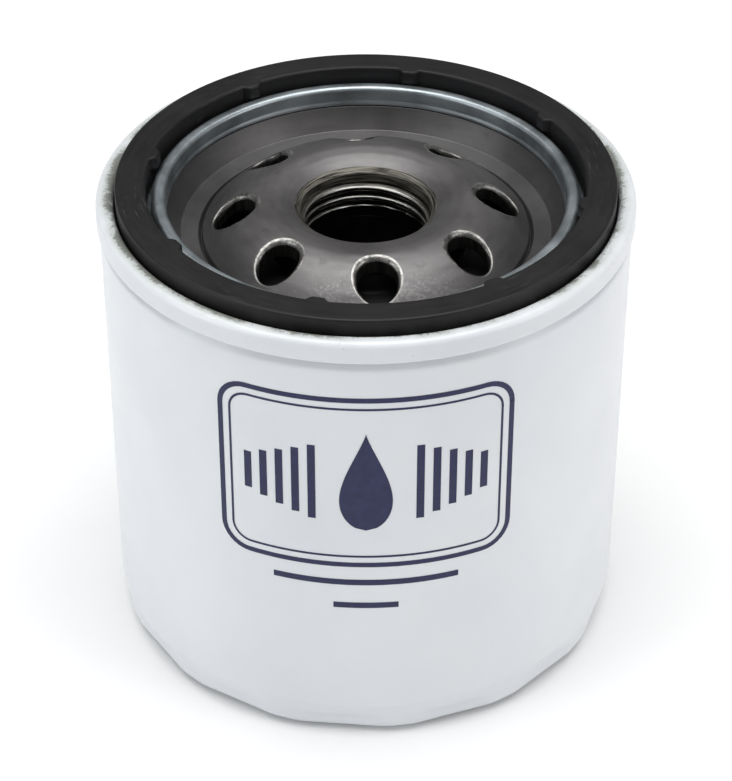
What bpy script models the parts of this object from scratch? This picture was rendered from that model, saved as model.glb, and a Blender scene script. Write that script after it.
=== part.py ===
"""Spin-on oil filter: a drawn steel can seamed to a threaded base plate, which holds a
spring-loaded pleated element, its bypass valve and an anti-drain valve.

Metres, +Z up. The origin is the middle of the closed end, on which the filter stands, and
the open, threaded end is on top. Sections are lists of (radius, height) in millimetres.
"""

import math

import bmesh
import bpy
from mathutils import Matrix, Vector

MM = 0.001  # metres in a millimetre

# Driving dimensions, in millimetres.
TOTAL_HEIGHT = 72.3  # closed end to gasket face
CAN_RADIUS = 38.0
CAN_SHEET = 0.30
LID_SHEET = 0.35
CORNER_RADIUS = 2.4  # closed end into the side
GAP = 0.30  # between pieces that touch
SEAM_GAP = 0.10  # between the rolled layers of the double seam

FLUTE_COUNT = 14  # wrench flats round the closed end
FLUTE_PHASE = math.radians(-5.5)
FLUTE_RIDGE = 37.55  # radius of the rounded ridges between the flats
FLUTE_TOP = 2.7
FLUTE_STEP = 3.7  # height in which the round side turns into flats
RESTING_RING = 29.2  # inner radius of the ring that the filter stands on
END_PANEL = 27.6
END_PANEL_HEIGHT = 1.0

SEAM_RADIUS = 38.4
SEAM_TOP = TOTAL_HEIGHT - 1.9
SEAM_BOTTOM = TOTAL_HEIGHT - 5.3
SEAM_CROWN = 0.8  # radius over each shoulder of the seam

GASKET_OUTER = 35.6
GASKET_INNER = 31.3
GASKET_HEIGHT = 5.0
GASKET_LUGS = 8
LUG_PHASE = math.radians(-12.0)

BEAD_OUTER = 30.5  # raised bead that centres the gasket
BEAD_INNER = 28.4
BEAD_TOP = TOTAL_HEIGHT - 1.95
BEAD_CORNER = 0.65
HEM_END = TOTAL_HEIGHT - 4.8

THREAD_MINOR_RADIUS = 8.75  # 3/4-16 UNF, over the crests
THREAD_MOUTH_RADIUS = 10.1
COLLAR_RADIUS = 12.2
COLLAR_BOTTOM = TOTAL_HEIGHT - 11.1
PLATE_RADIUS = 35.6
PLATE_THICKNESS = 2.0
TROUGH_TOP = TOTAL_HEIGHT - 8.3
TROUGH_OUTER = 26.5
TROUGH_INNER = 23.4
LEDGE_TOP = TOTAL_HEIGHT - 8.05
RIM_TOP = HEM_END - 0.3  # raised rim of the plate, under the lid's hem
DOME_TOP = TOTAL_HEIGHT - 3.1

INLET_COUNT = 8
INLET_RADIUS = 3.1
INLET_CIRCLE = 18.65
INLET_HEIGHT = TOTAL_HEIGHT - 4.35
INLET_PHASE = math.radians(4.7)

ELEMENT_RADIUS = 32.2
ELEMENT_BOTTOM = 10.2
ELEMENT_TOP = 58.9
ELEMENT_SHEET = 0.50
SLEEVE_WALL = 1.1  # anti-drain valve, between the collar and the element's top cap
CAP_RIM = 3.0  # height of an end cap's rim
POTTING_DEPTH = 0.9
PLEAT_COUNT = 44
PLEAT_OUTER = 31.0
PLEAT_INNER = 16.0
PAPER = 0.50
TUBE_OUTER = 14.7
TUBE_WALL = 0.5
TUBE_ROWS = 4
TUBE_HOLES = 6  # round each row
TUBE_HOLE_RADIUS = 2.2

VALVE_RADIUS = 9.2
SEAT_SHEET = 0.6
SEAL_THICKNESS = 1.0
DISC_SHEET = 0.6
VALVE_PORTS = 6
VALVE_PORT_RADIUS = 1.5
VALVE_PORT_CIRCLE = 6.5
STEM_RADIUS = 1.4
STEM_BORE = 1.7
STEM_SHOULDER = 2.6
CAGE_RADIUS = 11.5
CAGE_TOP = 23.8
CAGE_SHEET = 0.6
VALVE_SPRING_RADIUS = 5.0
VALVE_SPRING_WIRE = 0.4
VALVE_SPRING_TURNS = 4.0

SPRING_RADIUS = 10.6
SPRING_WIRE = 0.8
SPRING_TURNS = 2.6
SPRING_SEAT_OUTER = 12.6
SPRING_SEAT_COLLAR = 2.2  # how far the seat's collar reaches into the spring
COIL_POINTS = 12  # round each turn

SEGMENTS = 42  # round the housing, a multiple of the flats
INNER_SEGMENTS = 24
HOLE_SEGMENTS = 16
SMALL_HOLE_SEGMENTS = 8
ARC_STEPS = 4
SHARP_ANGLE = math.radians(35.0)
MERGE = 0.00001  # metres


def clear_scene():
    for obj in list(bpy.data.objects):
        bpy.data.objects.remove(obj, do_unlink=True)


def new_collection(name):
    collection = bpy.data.collections.new(name)
    bpy.context.scene.collection.children.link(collection)
    return collection


def new_material(name, colour, roughness, metallic):
    material = bpy.data.materials.new(name)
    material.use_nodes = True
    shader = material.node_tree.nodes["Principled BSDF"]
    shader.inputs["Base Color"].default_value = (*colour, 1.0)
    shader.inputs["Roughness"].default_value = roughness
    shader.inputs["Metallic"].default_value = metallic
    return material


def new_axis(name, height):
    """An empty on the filter's centre line, for the pieces that slide along it."""
    axis = bpy.data.objects.new(name, None)
    axis.location.z = height * MM
    PARTS.objects.link(axis)
    return axis


def arc(radius, centre, start, end, steps):
    """Points on an arc from one angle to another, in degrees, both ends included."""
    points = []
    for i in range(steps + 1):
        angle = math.radians(start + (end - start) * i / steps)
        points.append((centre[0] + radius * math.cos(angle), centre[1] + radius * math.sin(angle)))
    return points


def as_mesh(obj):
    """Turn the object's evaluated shape into its own mesh, with smooth round faces."""
    evaluated = obj.evaluated_get(bpy.context.evaluated_depsgraph_get())
    mesh = bpy.data.meshes.new_from_object(evaluated)
    obj.modifiers.clear()
    obj.data = mesh
    mesh.shade_smooth()
    mesh.set_sharp_from_angle(angle=SHARP_ANGLE)


def turned(name, section, material, closed=True, segments=SEGMENTS):
    """A section turned about the centre line; its outer side runs from top to bottom."""
    points = [(radius * MM, 0.0, height * MM) for radius, height in section]
    edges = [(i, i + 1) for i in range(len(points) - 1)]
    if closed:
        edges.append((len(points) - 1, 0))
    profile = bpy.data.meshes.new(name)
    profile.from_pydata(points, edges, [])
    obj = bpy.data.objects.new(name, profile)
    PARTS.objects.link(obj)
    screw = obj.modifiers.new("Turn", "SCREW")
    screw.axis = "Z"
    screw.steps = segments
    screw.render_steps = segments
    screw.use_merge_vertices = True
    screw.merge_threshold = MERGE
    as_mesh(obj)
    obj.rotation_euler.z = FLUTE_PHASE
    obj.data.materials.clear()
    obj.data.materials.append(material)
    return obj


def thicken(obj, sheet):
    """Give a turned surface its sheet thickness, inwards from the face that shows."""
    solidify = obj.modifiers.new("Sheet", "SOLIDIFY")
    solidify.thickness = sheet * MM
    solidify.offset = -1.0
    solidify.use_even_offset = True
    as_mesh(obj)


def boolean(obj, tool, operation, name):
    modifier = obj.modifiers.new(name, "BOOLEAN")
    modifier.operation = operation
    modifier.object = tool


def tool_object(name, mesh_builder):
    """A hidden wire object for a Boolean, made by filling a bmesh."""
    mesh = bpy.data.meshes.new(name)
    shape = bmesh.new()
    mesh_builder(shape)
    shape.to_mesh(mesh)
    shape.free()
    tool = bpy.data.objects.new(name, mesh)
    CUTTERS.objects.link(tool)
    tool.hide_render = True
    tool.display_type = "WIRE"
    return tool


def add_cylinder(shape, radius, length, matrix, segments):
    bmesh.ops.create_cone(
        shape,
        cap_ends=True,
        segments=segments,
        radius1=radius * MM,
        radius2=radius * MM,
        depth=length * MM,
        matrix=matrix,
    )


def add_box(shape, size, matrix):
    scale = Matrix.Diagonal((size[0] * MM, size[1] * MM, size[2] * MM, 1.0))
    bmesh.ops.create_cube(shape, size=1.0, matrix=matrix @ scale)


def around(angle, radius, height):
    """A frame turned about the centre line, with its X axis pointing outwards."""
    return Matrix.Rotation(angle, 4, "Z") @ Matrix.Translation((radius * MM, 0.0, height * MM))


def upright_holes(name, count, hole_radius, circle, height, length, phase, segments):
    """A ring of upright cylinders."""

    def build(shape):
        for i in range(count):
            angle = phase + i * math.tau / count
            add_cylinder(shape, hole_radius, length, around(angle, circle, height), segments)

    return tool_object(name, build)


def coil(name, radius, wire_radius, bottom, top, turns, material):
    """A compression spring of round wire, as a polyline with a round bevel."""
    count = round(turns * COIL_POINTS)
    curve = bpy.data.curves.new(name, "CURVE")
    curve.dimensions = "3D"
    spline = curve.splines.new("POLY")
    spline.points.add(count)
    for i, point in enumerate(spline.points):
        angle = math.tau * i / COIL_POINTS
        height = bottom + (top - bottom) * i / count
        point.co = (radius * MM * math.cos(angle), radius * MM * math.sin(angle), height * MM, 1.0)
    curve.bevel_depth = wire_radius * MM
    curve.bevel_resolution = 2
    curve.use_fill_caps = True
    obj = bpy.data.objects.new(name, curve)
    PARTS.objects.link(obj)
    curve.materials.append(material)
    return obj


# Radii of the double seam's five layers, from the outside in.
BODY_HOOK = SEAM_RADIUS - LID_SHEET - SEAM_GAP - CAN_SHEET
COVER_HOOK = BODY_HOOK - SEAM_GAP - LID_SHEET
BODY_WALL = COVER_HOOK - SEAM_GAP
CHUCK_WALL = BODY_WALL - CAN_SHEET - SEAM_GAP - LID_SHEET
HOOK_CENTRE = SEAM_TOP - LID_SHEET - SEAM_GAP - CAN_SHEET - (BODY_HOOK - BODY_WALL) / 2.0
CURL_RADIUS = (SEAM_RADIUS - COVER_HOOK) / 2.0
CURL_CENTRE = SEAM_BOTTOM + CURL_RADIUS


def can_section():
    """Outer face of the can: body hook, wall, rounded corner and recessed end panel."""
    hook_end = CURL_CENTRE + 0.4
    hook_bend = (BODY_HOOK - BODY_WALL) / 2.0
    neck_top = SEAM_BOTTOM + 0.2
    neck_bottom = SEAM_BOTTOM - 1.3
    section = [(BODY_HOOK, hook_end)]
    section += arc(hook_bend, (BODY_WALL + hook_bend, HOOK_CENTRE), 0.0, 180.0, ARC_STEPS)
    section += [(BODY_WALL, neck_top), (CAN_RADIUS, neck_bottom)]
    section += [(CAN_RADIUS, FLUTE_TOP + FLUTE_STEP), (CAN_RADIUS, FLUTE_TOP)]
    section += arc(CORNER_RADIUS, (CAN_RADIUS - CORNER_RADIUS, CORNER_RADIUS), 0.0, -90.0, ARC_STEPS)
    section += [(RESTING_RING, 0.0), (END_PANEL, END_PANEL_HEIGHT), (0.0, END_PANEL_HEIGHT)]
    return section


def press_flats(obj):
    """Push the lower wall in from its circle to a polygon, and fade that out under the corner."""
    pitch = math.tau / FLUTE_COUNT
    apothem = CAN_RADIUS * math.cos(pitch / 2.0)
    flat_end = CAN_RADIUS - CORNER_RADIUS
    for vertex in obj.data.vertices:
        radius = math.hypot(vertex.co.x, vertex.co.y) / MM
        if radius <= flat_end or vertex.co.z > (FLUTE_TOP + FLUTE_STEP / 2.0) * MM:
            continue
        from_middle = math.atan2(vertex.co.y, vertex.co.x) % pitch - pitch / 2.0
        polygon = min(apothem / math.cos(from_middle), FLUTE_RIDGE) / CAN_RADIUS
        share = (radius - flat_end) / CORNER_RADIUS
        scale = 1.0 + (polygon - 1.0) * share
        vertex.co.x *= scale
        vertex.co.y *= scale


def make_can_shell():
    obj = turned("can_shell", can_section(), WHITE_PAINT, closed=False)
    press_flats(obj)
    thicken(obj, CAN_SHEET)


def lid_section():
    """Visible face of the lid: gasket bead, gasket channel, chuck wall and rolled seam."""
    bead_centre = BEAD_TOP - BEAD_CORNER
    channel = TOTAL_HEIGHT - GASKET_HEIGHT - GAP
    shoulder = SEAM_TOP - SEAM_CROWN
    cover_hook_end = HOOK_CENTRE - 0.05
    section = [(BEAD_INNER, HEM_END)]
    section += arc(BEAD_CORNER, (BEAD_INNER + BEAD_CORNER, bead_centre), 180.0, 90.0, 4)
    section += arc(BEAD_CORNER, (BEAD_OUTER - BEAD_CORNER, bead_centre), 90.0, 0.0, 4)
    section += [(BEAD_OUTER, channel), (CHUCK_WALL, channel)]
    section += arc(SEAM_CROWN, (CHUCK_WALL + SEAM_CROWN, shoulder), 180.0, 90.0, 2)
    section += arc(SEAM_CROWN, (SEAM_RADIUS - SEAM_CROWN, shoulder), 90.0, 0.0, 2)
    section += arc(CURL_RADIUS, (COVER_HOOK + CURL_RADIUS, CURL_CENTRE), 0.0, -180.0, ARC_STEPS)
    section += [(COVER_HOOK, cover_hook_end)]
    return section


def make_seaming_lid():
    obj = turned("seaming_lid", lid_section(), ZINC, closed=False)
    thicken(obj, LID_SHEET)


def plate_section():
    """Flange under the lid, a trough, a dome with the inlet holes, and the threaded collar."""
    flange_top = TOTAL_HEIGHT - 6.0
    flange_bottom = flange_top - PLATE_THICKNESS
    trough_bottom = TROUGH_TOP - PLATE_THICKNESS
    mouth = TOTAL_HEIGHT - 4.5
    lead_in = 0.8
    section = [
        (PLATE_RADIUS, flange_top),
        (PLATE_RADIUS, flange_bottom),
        (TROUGH_OUTER + 3.1, flange_bottom),
        (TROUGH_OUTER + 0.9, trough_bottom),
        (TROUGH_INNER - 0.9, trough_bottom),
        (INLET_CIRCLE + 1.2, INLET_HEIGHT - 3.35),
        (INLET_CIRCLE - 0.7, INLET_HEIGHT - 1.95),
        (COLLAR_RADIUS, DOME_TOP - 2.0),
        (COLLAR_RADIUS, COLLAR_BOTTOM),
        (THREAD_MINOR_RADIUS + lead_in, COLLAR_BOTTOM),
        (THREAD_MINOR_RADIUS, COLLAR_BOTTOM + lead_in),
        (THREAD_MINOR_RADIUS, mouth - THREAD_MOUTH_RADIUS + THREAD_MINOR_RADIUS),
        (THREAD_MOUTH_RADIUS, mouth),
        (THREAD_MOUTH_RADIUS + 1.1, mouth + 0.6),
        (THREAD_MOUTH_RADIUS + 2.4, DOME_TOP - 0.35),
        (THREAD_MOUTH_RADIUS + 4.0, DOME_TOP),
        (INLET_CIRCLE - 3.65, INLET_HEIGHT + 1.22),
        (INLET_CIRCLE - 1.65, INLET_HEIGHT + 0.74),
        (INLET_CIRCLE + 0.35, INLET_HEIGHT - 0.19),
        (INLET_CIRCLE + 2.35, INLET_HEIGHT - 1.61),
        (TROUGH_INNER, TROUGH_TOP - 0.3),
        (TROUGH_OUTER - 0.3, TROUGH_TOP - 0.3),
        (TROUGH_OUTER, LEDGE_TOP),
        (BEAD_INNER + 0.1, RIM_TOP),
        (BEAD_OUTER - 0.8, RIM_TOP),
        (BEAD_OUTER - 0.5, flange_top),
    ]
    return section


def make_base_plate():
    obj = turned("base_plate", plate_section(), DARK_STEEL)
    drill = upright_holes(
        "inlet_drill",
        INLET_COUNT,
        INLET_RADIUS,
        INLET_CIRCLE,
        INLET_HEIGHT,
        7.0 * PLATE_THICKNESS,
        INLET_PHASE,
        HOLE_SEGMENTS,
    )
    boolean(obj, drill, "DIFFERENCE", "Inlet holes")


def make_gasket():
    """Square-section sealing ring, with lugs inside that grip the bead."""
    bottom = TOTAL_HEIGHT - GASKET_HEIGHT
    chamfer = 0.4
    section = [
        (GASKET_OUTER - chamfer, TOTAL_HEIGHT),
        (GASKET_OUTER, TOTAL_HEIGHT - chamfer),
        (GASKET_OUTER, bottom),
        (GASKET_INNER, bottom),
        (GASKET_INNER, TOTAL_HEIGHT - chamfer),
        (GASKET_INNER + chamfer, TOTAL_HEIGHT),
    ]
    obj = turned("gasket", section, RUBBER)
    lug_size = (1.6, 2.2, 1.6)
    lug_top = TOTAL_HEIGHT - 0.8

    def build(shape):
        for i in range(GASKET_LUGS):
            angle = LUG_PHASE + i * math.tau / GASKET_LUGS
            add_box(shape, lug_size, around(angle, GASKET_INNER, lug_top - lug_size[2] / 2.0))

    boolean(obj, tool_object("gasket_lugs", build), "UNION", "Lugs")


def make_anti_drain_valve():
    """Moulded rubber sleeve on the collar, with a skirt that closes the inlet holes."""
    bore = COLLAR_RADIUS + GAP
    sleeve = bore + SLEEVE_WALL
    foot = ELEMENT_TOP + GAP
    foot_outer = sleeve + 3.9
    sleeve_bottom = foot - 1.6
    lip_top = TROUGH_TOP - PLATE_THICKNESS - GAP
    sleeve_top = lip_top + 3.3
    lip_inner = TROUGH_INNER + 0.9
    lip_outer = TROUGH_OUTER - 0.7
    dip = TROUGH_INNER - 2.3
    dip_top = lip_top - 0.7
    skirt = 0.8
    section = [
        (sleeve + 0.2, sleeve_top),
        (sleeve + 1.0, lip_top + 0.7),
        (dip, dip_top),
        (lip_inner, lip_top),
        (lip_outer, lip_top),
        (lip_outer, lip_top - skirt),
        (lip_inner, lip_top - skirt),
        (dip, dip_top - skirt),
        (foot_outer, foot + 1.2),
        (foot_outer, foot),
        (sleeve, foot),
        (sleeve, sleeve_bottom),
        (bore, sleeve_bottom),
        (bore, sleeve_top),
    ]
    turned("anti_drain_valve", section, SOFT_RUBBER, segments=INNER_SEGMENTS)


def make_element_caps():
    """Two pressed caps with a rim that holds the pleats' ends."""
    top_under = ELEMENT_TOP - ELEMENT_SHEET
    top_hole = COLLAR_RADIUS + GAP + SLEEVE_WALL + GAP
    top_section = [
        (ELEMENT_RADIUS, ELEMENT_TOP),
        (ELEMENT_RADIUS, ELEMENT_TOP - CAP_RIM),
        (ELEMENT_RADIUS - ELEMENT_SHEET, ELEMENT_TOP - CAP_RIM),
        (ELEMENT_RADIUS - ELEMENT_SHEET, top_under),
        (top_hole, top_under),
        (top_hole, ELEMENT_TOP),
    ]
    collar_inner = TUBE_OUTER - TUBE_WALL - GAP - ELEMENT_SHEET
    bottom_inside = ELEMENT_BOTTOM + ELEMENT_SHEET
    bottom_section = [
        (ELEMENT_RADIUS, ELEMENT_BOTTOM + CAP_RIM),
        (ELEMENT_RADIUS, ELEMENT_BOTTOM),
        (collar_inner, ELEMENT_BOTTOM),
        (collar_inner, ELEMENT_BOTTOM + CAP_RIM),
        (collar_inner + ELEMENT_SHEET, ELEMENT_BOTTOM + CAP_RIM),
        (collar_inner + ELEMENT_SHEET, bottom_inside),
        (ELEMENT_RADIUS - ELEMENT_SHEET, bottom_inside),
        (ELEMENT_RADIUS - ELEMENT_SHEET, ELEMENT_BOTTOM + CAP_RIM),
    ]
    for name, section in (("element_top_cap", top_section), ("element_bottom_cap", bottom_section)):
        cap = turned(name, section, PLATED_STEEL, segments=INNER_SEGMENTS)
        cap.parent = ELEMENT_AXIS


def make_pottings():
    """Rings of sealant between each cap and the pleats."""
    inner = TUBE_OUTER + GAP
    outer = ELEMENT_RADIUS - ELEMENT_SHEET - GAP
    bottoms = {
        "top_potting": ELEMENT_TOP - ELEMENT_SHEET - GAP - POTTING_DEPTH,
        "bottom_potting": ELEMENT_BOTTOM + ELEMENT_SHEET + GAP,
    }
    for name, bottom in bottoms.items():
        top = bottom + POTTING_DEPTH
        section = [(outer, top), (outer, bottom), (inner, bottom), (inner, top)]
        potting = turned(name, section, SEALANT, segments=INNER_SEGMENTS)
        potting.parent = ELEMENT_AXIS


def pleat_loop(outer, inner, half_paper):
    """One edge of the folded paper; half_paper is positive outside the folds."""
    wall_angle = math.tau / PLEAT_COUNT / 4.0
    points = []
    for i in range(PLEAT_COUNT):
        for radius, side in ((inner, -1.0), (outer, -1.0), (outer, 1.0), (inner, 1.0)):
            sideways = side * (radius * math.sin(wall_angle) + half_paper)
            corner = Vector((radius * math.cos(wall_angle), sideways, 0.0))
            corner.rotate(Matrix.Rotation(i * math.tau / PLEAT_COUNT, 3, "Z"))
            points.append(corner)
    return points


def extruded(name, loops, bottom, top, material):
    """A flat outline of closed loops, raised between two heights; inner loops are holes."""
    curve = bpy.data.curves.new(name, "CURVE")
    curve.dimensions = "2D"
    for loop in loops:
        spline = curve.splines.new("POLY")
        spline.points.add(len(loop) - 1)
        for point, corner in zip(spline.points, loop):
            point.co = (corner[0] * MM, corner[1] * MM, 0.0, 1.0)
        spline.use_cyclic_u = True
    curve.fill_mode = "BOTH"
    curve.extrude = (top - bottom) / 2.0 * MM
    curve.materials.append(material)
    obj = bpy.data.objects.new(name, curve)
    PARTS.objects.link(obj)
    obj.location.z = (top + bottom) / 2.0 * MM
    return obj


def make_pleated_media():
    bottom = ELEMENT_BOTTOM + ELEMENT_SHEET + GAP + POTTING_DEPTH + GAP
    top = ELEMENT_TOP - ELEMENT_SHEET - GAP - POTTING_DEPTH - GAP
    loops = (
        pleat_loop(PLEAT_OUTER, PLEAT_INNER + PAPER, PAPER / 2.0),
        pleat_loop(PLEAT_OUTER - PAPER, PLEAT_INNER, -PAPER / 2.0),
    )
    media = extruded("pleated_media", loops, bottom, top, FILTER_PAPER)
    media.parent = ELEMENT_AXIS


def make_media_seam_clip():
    """Folded steel channel over the outer fold where the paper's ends meet."""
    depth = 4.0
    width = 4.4
    sheet = 0.4
    back = PLEAT_OUTER + GAP + sheet
    outline = [
        (back, -width / 2.0),
        (back, width / 2.0),
        (back - depth, width / 2.0),
        (back - depth, width / 2.0 - sheet),
        (back - sheet, width / 2.0 - sheet),
        (back - sheet, -width / 2.0 + sheet),
        (back - depth, -width / 2.0 + sheet),
        (back - depth, -width / 2.0),
    ]
    bottom = ELEMENT_BOTTOM + CAP_RIM + GAP
    top = ELEMENT_TOP - CAP_RIM - GAP
    clip = extruded("media_seam_clip", [outline], bottom, top, PLATED_STEEL)
    clip.parent = ELEMENT_AXIS


def make_centre_tube():
    """Perforated tube that stops the pleats from collapsing inwards."""
    bottom = ELEMENT_BOTTOM + ELEMENT_SHEET + GAP
    top = ELEMENT_TOP - ELEMENT_SHEET - GAP
    inner = TUBE_OUTER - TUBE_WALL
    section = [(TUBE_OUTER, top), (TUBE_OUTER, bottom), (inner, bottom), (inner, top)]
    obj = turned("centre_tube", section, PLATED_STEEL, segments=INNER_SEGMENTS)
    obj.parent = ELEMENT_AXIS
    first_row = CAGE_TOP + 3.0
    last_row = top - 6.0

    def build(shape):
        for row in range(TUBE_ROWS):
            height = first_row + (last_row - first_row) * row / (TUBE_ROWS - 1)
            for i in range(TUBE_HOLES):
                angle = math.tau * i / TUBE_HOLES
                lying = around(angle, TUBE_OUTER, height) @ Matrix.Rotation(math.pi / 2.0, 4, "Y")
                add_cylinder(shape, TUBE_HOLE_RADIUS, 3.0, lying, SMALL_HOLE_SEGMENTS)

    boolean(obj, tool_object("tube_punch", build), "DIFFERENCE", "Perforations")


def make_spring_seat():
    """Dished washer between the element and its spring, with a locating collar."""
    top = ELEMENT_BOTTOM - GAP
    collar_bottom = top - SPRING_SEAT_COLLAR
    collar_outer = SPRING_RADIUS - SPRING_WIRE - 0.5
    section = [
        (SPRING_SEAT_OUTER, top),
        (SPRING_SEAT_OUTER, top - ELEMENT_SHEET),
        (collar_outer, top - ELEMENT_SHEET),
        (collar_outer, collar_bottom),
        (collar_outer - ELEMENT_SHEET, collar_bottom),
        (collar_outer - ELEMENT_SHEET, top),
    ]
    seat = turned("spring_seat", section, PLATED_STEEL, segments=INNER_SEGMENTS)
    seat.parent = ELEMENT_AXIS


def make_element_spring():
    bottom = END_PANEL_HEIGHT + CAN_SHEET + GAP + SPRING_WIRE
    top = ELEMENT_BOTTOM - GAP - ELEMENT_SHEET - GAP - SPRING_WIRE
    coil("element_spring", SPRING_RADIUS, SPRING_WIRE, bottom, top, SPRING_TURNS, SPRING_STEEL)


# Levels of the bypass valve's flat pieces, which lie on each other.
SEAT_BOTTOM = ELEMENT_BOTTOM + 0.8
SEAT_TOP = SEAT_BOTTOM + SEAT_SHEET
SEAL_BOTTOM = SEAT_TOP + GAP
SEAL_TOP = SEAL_BOTTOM + SEAL_THICKNESS
DISC_BOTTOM = SEAL_TOP + GAP
DISC_TOP = DISC_BOTTOM + DISC_SHEET


def make_valve_seat():
    """Ported disc that closes the bottom cap's centre."""
    outer = TUBE_OUTER - TUBE_WALL - GAP - ELEMENT_SHEET - GAP
    section = [
        (outer, SEAT_TOP),
        (outer, SEAT_BOTTOM),
        (STEM_BORE, SEAT_BOTTOM),
        (STEM_BORE, SEAT_TOP),
    ]
    obj = turned("bypass_valve_seat", section, PLATED_STEEL, segments=INNER_SEGMENTS)
    obj.parent = ELEMENT_AXIS
    drill = upright_holes(
        "valve_port_drill",
        VALVE_PORTS,
        VALVE_PORT_RADIUS,
        VALVE_PORT_CIRCLE,
        SEAT_BOTTOM,
        4.0,
        0.0,
        SMALL_HOLE_SEGMENTS,
    )
    boolean(obj, drill, "DIFFERENCE", "Ports")


def make_valve_poppet():
    """The pieces that lift when the element is clogged: seal, disc and guide stem."""
    rim = DISC_TOP + DISC_SHEET
    shoulder_bottom = DISC_TOP + GAP
    shoulder_top = shoulder_bottom + 0.8
    stem_top = CAGE_TOP - GAP
    stem_bottom = SEAT_BOTTOM - 1.0
    seal = [
        (VALVE_RADIUS, SEAL_TOP),
        (VALVE_RADIUS, SEAL_BOTTOM),
        (STEM_BORE + GAP, SEAL_BOTTOM),
        (STEM_BORE + GAP, SEAL_TOP),
    ]
    disc = [
        (VALVE_RADIUS, rim),
        (VALVE_RADIUS, DISC_BOTTOM),
        (STEM_BORE, DISC_BOTTOM),
        (STEM_BORE, DISC_TOP),
        (VALVE_RADIUS - DISC_SHEET, DISC_TOP),
        (VALVE_RADIUS - DISC_SHEET, rim),
    ]
    stem = [
        (0.0, stem_top),
        (STEM_RADIUS, stem_top),
        (STEM_RADIUS, shoulder_top),
        (STEM_SHOULDER, shoulder_top),
        (STEM_SHOULDER, shoulder_bottom),
        (STEM_RADIUS, shoulder_bottom),
        (STEM_RADIUS, stem_bottom),
        (0.0, stem_bottom),
    ]
    pieces = (
        turned("bypass_valve_seal", seal, RUBBER, segments=INNER_SEGMENTS),
        turned("bypass_valve_disc", disc, PLATED_STEEL, segments=INNER_SEGMENTS),
        turned("bypass_valve_stem", stem, PLATED_STEEL, closed=False, segments=HOLE_SEGMENTS),
    )
    for piece in pieces:
        piece.parent = BYPASS_AXIS


def make_valve_cage():
    """Cup over the poppet that holds the spring's upper end, with four side windows."""
    bottom = SEAT_TOP + GAP
    under = CAGE_TOP - CAGE_SHEET
    inner = CAGE_RADIUS - CAGE_SHEET
    hole = STEM_RADIUS + 0.5
    section = [
        (CAGE_RADIUS, CAGE_TOP),
        (CAGE_RADIUS, bottom),
        (inner, bottom),
        (inner, under),
        (hole, under),
        (hole, CAGE_TOP),
    ]
    obj = turned("bypass_valve_cage", section, PLATED_STEEL, segments=INNER_SEGMENTS)
    obj.parent = ELEMENT_AXIS
    window = (4.0, 9.0, 6.0)
    windows = 4

    def build(shape):
        for i in range(windows):
            place = around(math.tau * i / windows, CAGE_RADIUS, (bottom + under) / 2.0)
            add_box(shape, window, place)

    boolean(obj, tool_object("cage_windows", build), "DIFFERENCE", "Windows")


def make_valve_spring():
    wire = VALVE_SPRING_WIRE
    bottom = DISC_TOP + GAP + wire
    top = CAGE_TOP - CAGE_SHEET - GAP - wire
    spring = coil(
        "bypass_valve_spring",
        VALVE_SPRING_RADIUS,
        wire,
        bottom,
        top,
        VALVE_SPRING_TURNS,
        SPRING_STEEL,
    )
    spring.parent = ELEMENT_AXIS


def keep_world_places():
    """Undo each axis empty's offset on its children, whose shapes are in the filter's frame."""
    for axis in (ELEMENT_AXIS, BYPASS_AXIS):
        for child in axis.children:
            child.matrix_parent_inverse = Matrix.Translation(-axis.location)


clear_scene()
PARTS = new_collection("oil_filter")
CUTTERS = new_collection("cutters")

WHITE_PAINT = new_material("white_paint", (0.72, 0.74, 0.76), 0.35, 0.0)
ZINC = new_material("zinc_plate", (0.55, 0.58, 0.62), 0.35, 1.0)
DARK_STEEL = new_material("phosphated_steel", (0.20, 0.18, 0.16), 0.55, 0.8)
PLATED_STEEL = new_material("plated_steel", (0.62, 0.62, 0.60), 0.30, 1.0)
SPRING_STEEL = new_material("spring_steel", (0.30, 0.30, 0.32), 0.35, 1.0)
RUBBER = new_material("black_rubber", (0.02, 0.02, 0.02), 0.60, 0.0)
SOFT_RUBBER = new_material("valve_rubber", (0.03, 0.03, 0.03), 0.50, 0.0)
FILTER_PAPER = new_material("filter_paper", (0.70, 0.55, 0.25), 0.90, 0.0)
SEALANT = new_material("sealant", (0.25, 0.28, 0.22), 0.60, 0.0)

ELEMENT_AXIS = new_axis("element_axis", ELEMENT_BOTTOM)
BYPASS_AXIS = new_axis("bypass_axis", SEAT_TOP)

make_can_shell()
make_seaming_lid()
make_base_plate()
make_gasket()
make_anti_drain_valve()
make_element_caps()
make_pottings()
make_pleated_media()
make_media_seam_clip()
make_centre_tube()
make_spring_seat()
make_element_spring()
make_valve_seat()
make_valve_poppet()
make_valve_cage()
make_valve_spring()
keep_world_places()
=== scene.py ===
"""Looks of a spin-on oil filter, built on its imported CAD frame.

Sections are lists of (radius, height, fillet radius) in millimetres, turned about the filter's
axis. The can stands on its closed end, and its printed side faces -Y.
"""

import math

import bmesh
import bpy
import numpy as np
from mathutils import Matrix, Vector


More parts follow.
